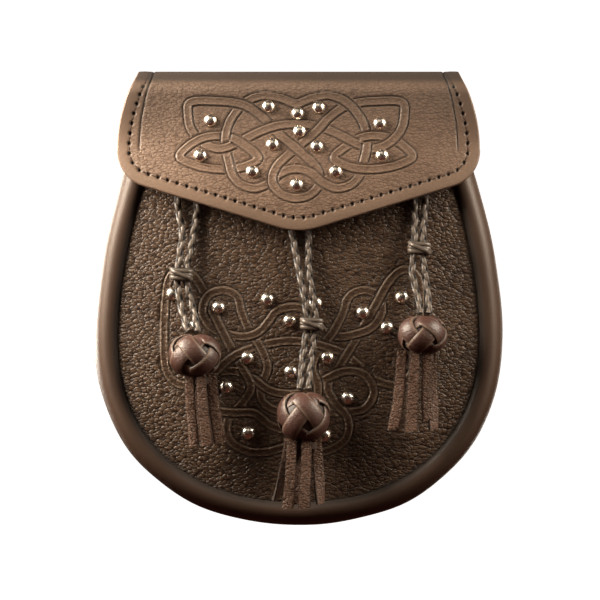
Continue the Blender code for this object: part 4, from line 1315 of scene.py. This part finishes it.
def seam_lines(inset):
    """The right half of the seam line set in from the silhouette: its lower part and its upper part,
    as points (x, z) in order of x."""
    points, normals = body_outline(2400)
    line = points + normals * inset
    right = line[len(line) // 2 :]
    widest = int(np.argmax(right[:, 0]))
    return right[: widest + 1], right[: widest - 1 : -1]


def height_on(line, x):
    return np.interp(np.abs(x), line[:, 0], line[:, 1])


def panel_grid(cell, inset, fine_top):
    """A grid over the panel's outline as (x, z) arrays. Rows above fine_top are coarser."""
    lower, upper = seam_lines(inset)
    half = lower[-1, 0]
    bend = half * 0.78
    turn = np.linspace(0, QUARTER, max(4, round(12 * MM / cell)))
    places = np.append(np.arange(0, bend, cell), bend + (half * 0.9996 - bend) * np.sin(turn[1:]))
    x = np.append(-places[:0:-1], places)
    bottom, top = height_on(lower, x), height_on(upper, x)
    lowest = height_on(lower, 0.0)
    whole = height_on(upper, 0.0) - lowest
    split = (fine_top - lowest) / whole
    fine_rows = max(4, round(whole * split / cell))
    coarse_rows = max(3, round(whole * (1 - split) / (4 * cell)))
    rise = np.append(np.linspace(0, split, fine_rows + 1), np.linspace(split, 1, coarse_rows + 1)[1:])
    z = bottom[:, None] + (top - bottom)[:, None] * rise
    return np.broadcast_to(x[:, None], z.shape), z


def front_edge():
    """Edge rows for the front panel, whose rounded edge turns in behind the seam and back under."""
    inner = EDGE_ROUND - PANEL_THICKNESS
    return [
        *rounding(EDGE_ROUND, 4, 0.6),
        (EDGE_ROUND, EDGE_ROUND, 0.5),
        (EDGE_ROUND, EDGE_ROUND, 1.0),
        (inner, EDGE_ROUND, 1.0),
        (inner, PANEL_THICKNESS + EDGE_ROUND / 2, 0.0),
    ]


def front_turned_in(at):
    """How far the front panel's edge turns in, which is less at the mouth."""
    at_mouth = at[:, 2] > MOUTH_Z - 1.5 * EDGE_ROUND
    return np.where(at_mouth, MOUTH_TURN_IN, SEAM_TURN_IN) - EDGE_ROUND


def make_front_panel():
    inset = RIM_WIDTH + TOUCH_GAP + EDGE_ROUND
    x, z = panel_grid(PANEL_CELL, inset, PANEL_FINE_TOP)
    flat = np.column_stack([x.ravel(), (TOP_Z - z).ravel()])
    ornament, cut, on_band, lip = pressed(flat, closed_bands(PANEL_BANDS, (), PANEL_ORNAMENT))
    face = np.stack([x, panel_y(x, z), z], axis=-1)
    face = face + grid_normals(face) * ornament.reshape(x.shape)[..., None]
    coarse_x, coarse_z = panel_grid(PANEL_LINING_CELL, inset, PANEL_FINE_TOP)
    lining = np.stack([coarse_x, panel_y(coarse_x, coarse_z), coarse_z], axis=-1)
    edge = front_edge()
    ring = 2 * sum(x.shape) - 4
    # Painted shade: the panel is painted darker close to its seam
    seam = (1 - smoothstep(0.01, 0.07, dome_share(x, z))).ravel()
    fields = {
        "grain": np.append((1 - 0.5 * on_band) * (1 - 0.8 * cut), np.full(ring * 3, 0.5)),
        # Painted shade in the pressed grooves and on the turned-in edge rows
        "painted_shade": np.append(np.maximum(0.7 * cut, seam), np.full(ring * 5, 0.95)),
        # Painted highlight on the raised lips of the bands
        "wear_and_highlight": lip,
    }
    shape = slab(face, lining, PANEL_THICKNESS, edge, (0, 1, 0), front_turned_in)
    add_piece("embossed_front", shape, "shaded_panel_leather", ["front_panel"], fields)


def make_back_panel():
    """A plain panel, a little uneven, and drawn in along its seam."""
    inset = RIM_WIDTH + TOUCH_GAP + BACK_EDGE_ROUND
    x, z = panel_grid(1.4 * MM, inset, 40 * MM)
    line, _ = body_outline(500)
    edge_gap = distance_to(np.column_stack([x.ravel(), z.ravel()]), [line], 40 * MM).reshape(x.shape) - inset
    wave = 0.16 * MM * np.sin(x * 61) * np.sin(z * 47 + 1.0)
    drawn_in = 0.30 * MM * bell(edge_gap, BACK_STITCH_INSET, 1.2 * MM)
    y = BACK_FACE - np.abs(wave) * smoothstep(0.0, 8 * MM, edge_gap) - drawn_in
    face = np.stack([x, y, z], axis=-1)
    coarse_x, coarse_z = panel_grid(12 * MM, inset, 40 * MM)
    lining = np.stack([coarse_x, np.full(coarse_x.shape, BACK_FACE), coarse_z], axis=-1)
    edge = [*rounding(BACK_EDGE_ROUND, 3), (BACK_EDGE_ROUND, BACK_THICKNESS * 0.9, 0.0)]
    shape = slab(face[::-1], lining[::-1], BACK_THICKNESS, edge)
    add_piece("plain_back", shape, "smooth_leather", ["back_panel"], {"grain": np.full(x.size, 0.55)})
    make_back_stitches(inset + BACK_STITCH_INSET)


def make_back_stitches(inset):
    outline, normals = body_outline(3000)
    row = outline + normals * inset
    run = run_along(row)
    at = np.arange(6 * MM, run[-1] - 6 * MM, STITCH_PITCH)
    x, z = read_line(row, run, at).T
    ahead_x, ahead_z = read_line(row, run, at + MM).T
    flat = np.zeros(len(at))
    places = np.column_stack([x, flat + BACK_FACE - 0.22 * MM, z])
    along = unit(np.column_stack([ahead_x - x, flat, ahead_z - z]))
    away = np.tile((0.0, 1.0, 0.0), (len(at), 1))
    make_stitches("back_stitches", places, along, away, STITCH_PITCH * 0.7)


# Gusset

GUSSET_STEPS = 560
GUSSET_SIDE_STEPS = 34
GUSSET_RUN = 0.52
GUSSET_WAVES = 9
GUSSET_WAVE_HEIGHT = 0.085 * MM


def gusset_section(z):
    """The gusset's outer line at a height as (inward, y) rows, from the front seam to the back."""
    front, back = ridge_y(z), BACK_FACE
    valley = front + SEAM_VALLEY
    seam = [
        (RIM_WIDTH, valley + SEAM_TURN_IN),
        (RIM_WIDTH, valley + SEAM_TURN_IN * 0.5),
        (RIM_WIDTH, valley + EDGE_ROUND * 0.9),
        (RIM_WIDTH - RIDGE_INSET * 0.05, valley + EDGE_ROUND * 0.35),
        (RIM_WIDTH - RIDGE_INSET * 0.16, front + SEAM_VALLEY * 0.74),
        (RIM_WIDTH - RIDGE_INSET * 0.36, front + SEAM_VALLEY * 0.34),
        (RIM_WIDTH - RIDGE_INSET * 0.64, front + SEAM_VALLEY * 0.10),
    ]
    turn = np.linspace(-QUARTER, QUARTER, GUSSET_SIDE_STEPS + 1)
    inward = (RIM_WIDTH - RIDGE_INSET) * (1 - np.clip(np.cos(turn), 0, 1) ** (2 / SIDE_FULLNESS))
    along = (front + back) / 2 + (back - front) / 2 * drawn_out(np.sin(turn), 2 / SIDE_FULLNESS)
    turned_in = [
        (RIM_WIDTH - EDGE_ROUND * 0.5, back),
        (RIM_WIDTH - EDGE_ROUND * 0.15, back - EDGE_ROUND * 0.2),
        (RIM_WIDTH, back - EDGE_ROUND * 0.5),
        (RIM_WIDTH, back - BACK_THICKNESS - SEAM_TURN_IN / 2),
    ]
    return np.vstack([seam, np.column_stack([inward, along]), turned_in])


def gusset_grid():
    """The gusset's outer face round the U, with its slight ripples."""
    chance = random.Random(5)
    waves = [
        (chance.uniform(60, 190), chance.uniform(0, 6), chance.uniform(20, 90)) for _ in range(GUSSET_WAVES)
    ]
    outline, normals = body_outline(GUSSET_STEPS)
    run = np.linspace(0, 1, len(outline)) * GUSSET_RUN
    rings = []
    for (x, z), (nx, nz), at in zip(outline, normals, run):
        inward, y = gusset_section(z).T
        share = np.linspace(0, 1, len(y))
        ripple = sum(math.sin(at * f + p) * np.sin(share * g * 0.1 + p) for f, p, g in waves)
        inward = inward + GUSSET_WAVE_HEIGHT * (ripple + 2) * np.sin(math.pi * share) ** 2
        rings.append(np.column_stack([x + nx * inward, y, z + nz * inward]))
    return np.array(rings)


def make_gusset():
    grid = gusset_grid()
    steps, count = grid.shape[:2]
    painted_shade = np.zeros(count)
    # Painted shade: the rows in the front seam valley and the last rows at the back seam are painted dark
    painted_shade[:7] = (0.9, 0.9, 0.9, 0.9, 0.9, 0.7, 0.25)
    painted_shade[-2:] = 0.6
    grain = 0.35 * np.sin(math.pi * np.linspace(0, 1, count)) ** 2
    fields = {"grain": np.tile(grain, steps), "painted_shade": np.tile(painted_shade, steps)}
    shape = (grid.reshape(-1, 3), grid_faces(grid_index(steps, count)))
    piece = add_piece("rolled_gusset", shape, "smooth_leather", ["gusset"], fields)
    centre = Vector((0, (BACK_FACE + ridge_y(WIDEST_Z)) / 2, WIDEST_Z))
    face = piece.data.polygons[len(piece.data.polygons) // 2]
    if face.normal.dot(face.center - centre) < 0:
        piece.data.flip_normals()
    wall = piece.modifiers.new("Wall", "SOLIDIFY")
    wall.thickness = GUSSET_THICKNESS * 0.8
    wall.offset = -1.0


# Strap loops

KEEPER_COLUMNS = 25
KEEPER_STEPS = 110
KEEPER_EDGE = LOOP_THICKNESS * 0.35
KEEPER_STITCH = 1.8 * MM


def settled(rows, times):
    """Rows smoothed a few times, with both ends kept."""
    for _ in range(times):
        rows[1:-1] = (rows[:-2] + 2 * rows[1:-1] + rows[2:]) / 4
    return rows


def keeper_line():
    """The outer line (y, z) of a strap loop, up its feet and over the strap's way."""
    foot = BACK_FACE + TOUCH_GAP
    raised, half, corner = PASSAGE_DEPTH / 2, PASSAGE_HEIGHT / 2, LOOP_CORNER
    inner = [
        (foot, half + LOOP_FOOT), (foot, half + corner / 2), (foot + corner / 2, half),
        (raised - corner, half), (raised - corner * LOOP_CORNER_CUT, half - corner * LOOP_CORNER_CUT),
        (raised, half - corner),
    ]
    inner += [(y, -z) for y, z in inner[::-1]]
    path, tangent = resample(np.array(inner), KEEPER_STEPS)
    normal = np.column_stack([-tangent[:, 1], tangent[:, 0]])
    if normal[len(normal) // 2, 0] < 0:
        normal = -normal
    return (settled(path, 3) + unit(settled(normal, 6)) * LOOP_THICKNESS)[3:-3]


def make_keeper(name):
    """A leather keeper on the back, sewn down above and below the strap's way."""
    low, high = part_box(f"strap_loop_{name}")
    middle = (high.x + low.x) / 2
    across = middle + np.linspace(-0.5, 0.5, KEEPER_COLUMNS) * (high.x - low.x - 2 * KEEPER_EDGE)
    y, z = keeper_line().T
    face = np.stack([across[:, None] + 0 * y, y + 0 * across[:, None], z + 0 * across[:, None]], axis=-1)
    if grid_normals(face)[KEEPER_COLUMNS // 2, len(y) // 2, 1] < 0:
        face = face[::-1]
    shape = slab(face, face[::3, ::2], LOOP_THICKNESS, soft_edge(KEEPER_EDGE, LOOP_THICKNESS))
    fields = {"grain": np.full(face[..., 0].size, 0.4)}
    add_piece(f"keeper_{name}", shape, "smooth_leather", [f"strap_loop_{name}"], fields)
    places = []
    for sign in (-1, 1):
        for level in (0.32, 0.76):
            for x in np.arange(-2, 3) * 2.5 * MM:
                z = sign * (PASSAGE_HEIGHT / 2 + LOOP_FOOT * level)
                places.append((middle + x, BACK_FACE + TOUCH_GAP + LOOP_THICKNESS + 0.02 * MM, z))
    along = np.tile((1.0, 0.0, 0.0), (len(places), 1))
    away = np.tile((0.0, 1.0, 0.0), (len(places), 1))
    make_stitches(f"keeper_stitches_{name}", np.array(places), along, away, KEEPER_STITCH)


# Studs

STUD_SIDES = 28
STUD_RADIUS = 2.95 * MM
STUD_HEIGHT = 2.3 * MM
STUD_GAP = 0.12 * MM
STUD_PROFILE = (
    # reach, rise, as shares of the stud's radius and height
    (1.00, 0.00), (1.00, 0.10), (0.97, 0.20), (0.93, 0.32), (0.86, 0.47), (0.76, 0.63),
    (0.62, 0.78), (0.46, 0.89), (0.28, 0.96), (0.12, 0.995),
)


def flap_front_y(x, z):
    return flap_y(x, TOP_Z - z)


def stud_seat(name):
    """Where a stud stands on its leather, and the direction straight away from that leather."""
    low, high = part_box(name)
    x, z = (low.x + high.x) / 2, (low.z + high.z) / 2
    surface = flap_front_y if name.startswith("flap") else panel_y
    reach = 0.4 * MM
    slope_x = (surface(x + reach, z) - surface(x - reach, z)) / (2 * reach)
    slope_z = (surface(x, z + reach) - surface(x, z - reach)) / (2 * reach)
    return np.array([x, float(surface(x, z)), z]), unit(np.array([float(slope_x), -1.0, float(slope_z)]))


def make_stud(name):
    """A domed stud with a thin rim, turned to face away from the leather it stands on."""
    seat, away = stud_seat(name)
    across = unit(np.cross((0.0, 0.0, 1.0), away))
    turn = round_turns(STUD_SIDES)
    circle = np.outer(np.cos(turn), across) + np.outer(np.sin(turn), np.cross(away, across))
    base = seat + away * STUD_GAP
    rings = [base + circle * STUD_RADIUS * reach + away * STUD_HEIGHT * rise for reach, rise in STUD_PROFILE]
    points = np.vstack([*rings, base + away * STUD_HEIGHT])
    index = grid_index(len(STUD_PROFILE), STUD_SIDES)
    faces = [*ring_faces(index), index[0, ::-1].tolist(), *fan(index[-1], len(points) - 1)]
    add_piece(f"domed_{name}", (points, faces), "polished_nickel", [name])


def finish_plain_nodes():
    """The hidden catch and the cords' tabs keep their solids, with softened edges."""
    for name, node in NODES.items():
        if name.endswith("anchor_tab") or name == "flap_catch":
            finish = "polished_nickel" if name == "flap_catch" else "smooth_leather"
            node.data.materials.clear()
            node.data.materials.append(FINISHES[finish][0])
            soften = node.modifiers.new("Soften", "BEVEL")
            soften.width = 0.35 * MM
            soften.segments = 3


# Stage and light

STAGE_WIDTH = 6.0
STAGE_FRONT = -4.0
STAGE_BACK = 1.6
STAGE_BEND = 0.5
STAGE_HEIGHT = 4.5
FLOOR_DROP = 0.14
LIGHT_COLOUR = (1.0, 0.92, 0.81)
LIGHT_AIM_RISE = 0.02
LIGHTS = {
    # name: azimuth and rise in degrees, distance, width and height in metres, power in watts
    "side_left": (-77, 34, 0.42, 0.26, 0.26, 8.6),
    "side_right": (75, 32, 0.54, 0.30, 0.30, 5.4),
    "strip_left": (-74, 4, 0.60, 0.09, 0.46, 0.40),
    "strip_right": (74, 4, 0.60, 0.09, 0.46, 0.40),
    "above": (-8, 50, 1.10, 0.60, 0.50, 0.8),
    "rear_left": (-138, 6, 0.56, 0.24, 0.24, 4.2),
    "rear_right": (164, -4, 1.10, 0.50, 0.50, 3.6),
}
ROOM_COLOURS = (
    # share of the way from nadir to zenith, colour
    (0.00, (0.075, 0.020, 0.013)),
    (0.44, (0.045, 0.014, 0.009)),
    (0.56, (0.022, 0.016, 0.012)),
    (0.80, (0.060, 0.050, 0.040)),
    (1.00, (0.05, 0.042, 0.034)),
)


def make_floor_material():
    """Pale and evenly lit in front, and clear from behind."""
    material, tree, shader = new_material("pale_floor")
    shader.inputs["Base Color"].default_value = (0.90, 0.90, 0.90, 1)
    shader.inputs["Roughness"].default_value = 0.9
    shader.inputs["Emission Color"].default_value = (1, 1, 1, 1)
    shader.inputs["Emission Strength"].default_value = 1.0
    clear = new_node(tree, "ShaderNodeBsdfTransparent").outputs[0]
    behind = new_node(tree, "ShaderNodeNewGeometry").outputs["Backfacing"]
    mixed = new_node(tree, "ShaderNodeMixShader", {0: behind, 1: shader.outputs[0], 2: clear})
    tree.links.new(mixed.outputs[0], tree.nodes["Material Output"].inputs["Surface"])
    return material


def make_stage():
    """A pale floor that curves up into a backdrop."""
    floor_z = BOTTOM_Z - FLOOR_DROP
    profile = [(STAGE_FRONT, floor_z), (0.0, floor_z)]
    for turn in np.linspace(-QUARTER, 0, 12):
        bend_z = floor_z + STAGE_BEND + STAGE_BEND * math.sin(turn)
        profile.append((STAGE_BACK + STAGE_BEND * math.cos(turn), bend_z))
    profile.append((STAGE_BACK + STAGE_BEND, floor_z + STAGE_HEIGHT))
    points = [(x, y, z) for y, z in profile for x in (-STAGE_WIDTH / 2, STAGE_WIDTH / 2)]
    faces = [(2 * k, 2 * k + 1, 2 * k + 3, 2 * k + 2) for k in range(len(profile) - 1)]
    mesh = bpy.data.meshes.new("backdrop")
    mesh.from_pydata(points, [], faces)
    mesh.shade_smooth()
    mesh.materials.append(make_floor_material())
    floor = bpy.data.objects.new("backdrop", mesh)
    floor.visible_diffuse = False
    floor.visible_glossy = False
    floor.visible_shadow = False
    bpy.context.scene.collection.objects.link(floor)


def make_lights():
    """Soft boxes at both sides, above and behind. The narrow strips show only as reflections."""
    for name, (azimuth, rise, distance, width, height, power) in LIGHTS.items():
        turn, up = math.radians(azimuth), math.radians(rise)
        level = distance * math.cos(up)
        middle = Vector((0, ridge_y(WIDEST_Z), WIDEST_Z))
        place = middle + Vector((level * math.sin(turn), -level * math.cos(turn), distance * math.sin(up)))
        data = bpy.data.lights.new(name, "AREA")
        data.shape = "RECTANGLE"
        data.size = width
        data.size_y = height
        data.energy = power
        data.color = LIGHT_COLOUR
        light = bpy.data.objects.new(name, data)
        light.location = place
        light.visible_diffuse = not name.startswith("strip")
        face_along(light, middle + Vector((0, 0, LIGHT_AIM_RISE)) - place)


def make_room():
    """Faint light from all round that is red-brown below, behind a white background."""
    world = bpy.data.worlds.new("studio")
    world.use_nodes = True
    tree = world.node_tree
    background = tree.nodes["Background"]
    direction = new_node(tree, "ShaderNodeTexCoord").outputs["Generated"]
    level = new_node(tree, "ShaderNodeSeparateXYZ", {0: direction}).outputs["Z"]
    share = ranged(tree, level, {"From Min": -1.0, "From Max": 1.0})
    ramp = new_node(tree, "ShaderNodeValToRGB", {0: share})
    while len(ramp.color_ramp.elements) < len(ROOM_COLOURS):
        ramp.color_ramp.elements.new(0.5)
    for element, (height, colour) in zip(ramp.color_ramp.elements, ROOM_COLOURS):
        element.position = height
        element.color = (*colour, 1)
    tree.links.new(ramp.outputs[0], background.inputs["Color"])
    background.inputs["Strength"].default_value = 1.0
    bright = new_node(tree, "ShaderNodeBackground", {"Color": (1, 1, 1, 1), "Strength": 1.1})
    seen = new_node(tree, "ShaderNodeLightPath").outputs["Is Camera Ray"]
    mixed = new_node(tree, "ShaderNodeMixShader", {0: seen, 1: background.outputs[0], 2: bright.outputs[0]})
    tree.links.new(mixed.outputs[0], tree.nodes["World Output"].inputs["Surface"])
    bpy.context.scene.world = world
    bpy.context.scene.view_settings.view_transform = "Standard"


make_camera()
make_tassels()
make_front_panel()
make_flap()
make_flap_stitches()
make_gusset()
make_back_panel()
for loop_side in ("left", "right"):
    make_keeper(loop_side)
for stud in sorted(name for name in NODES if "stud" in name):
    make_stud(stud)
finish_plain_nodes()
make_stage()
make_lights()
make_room()
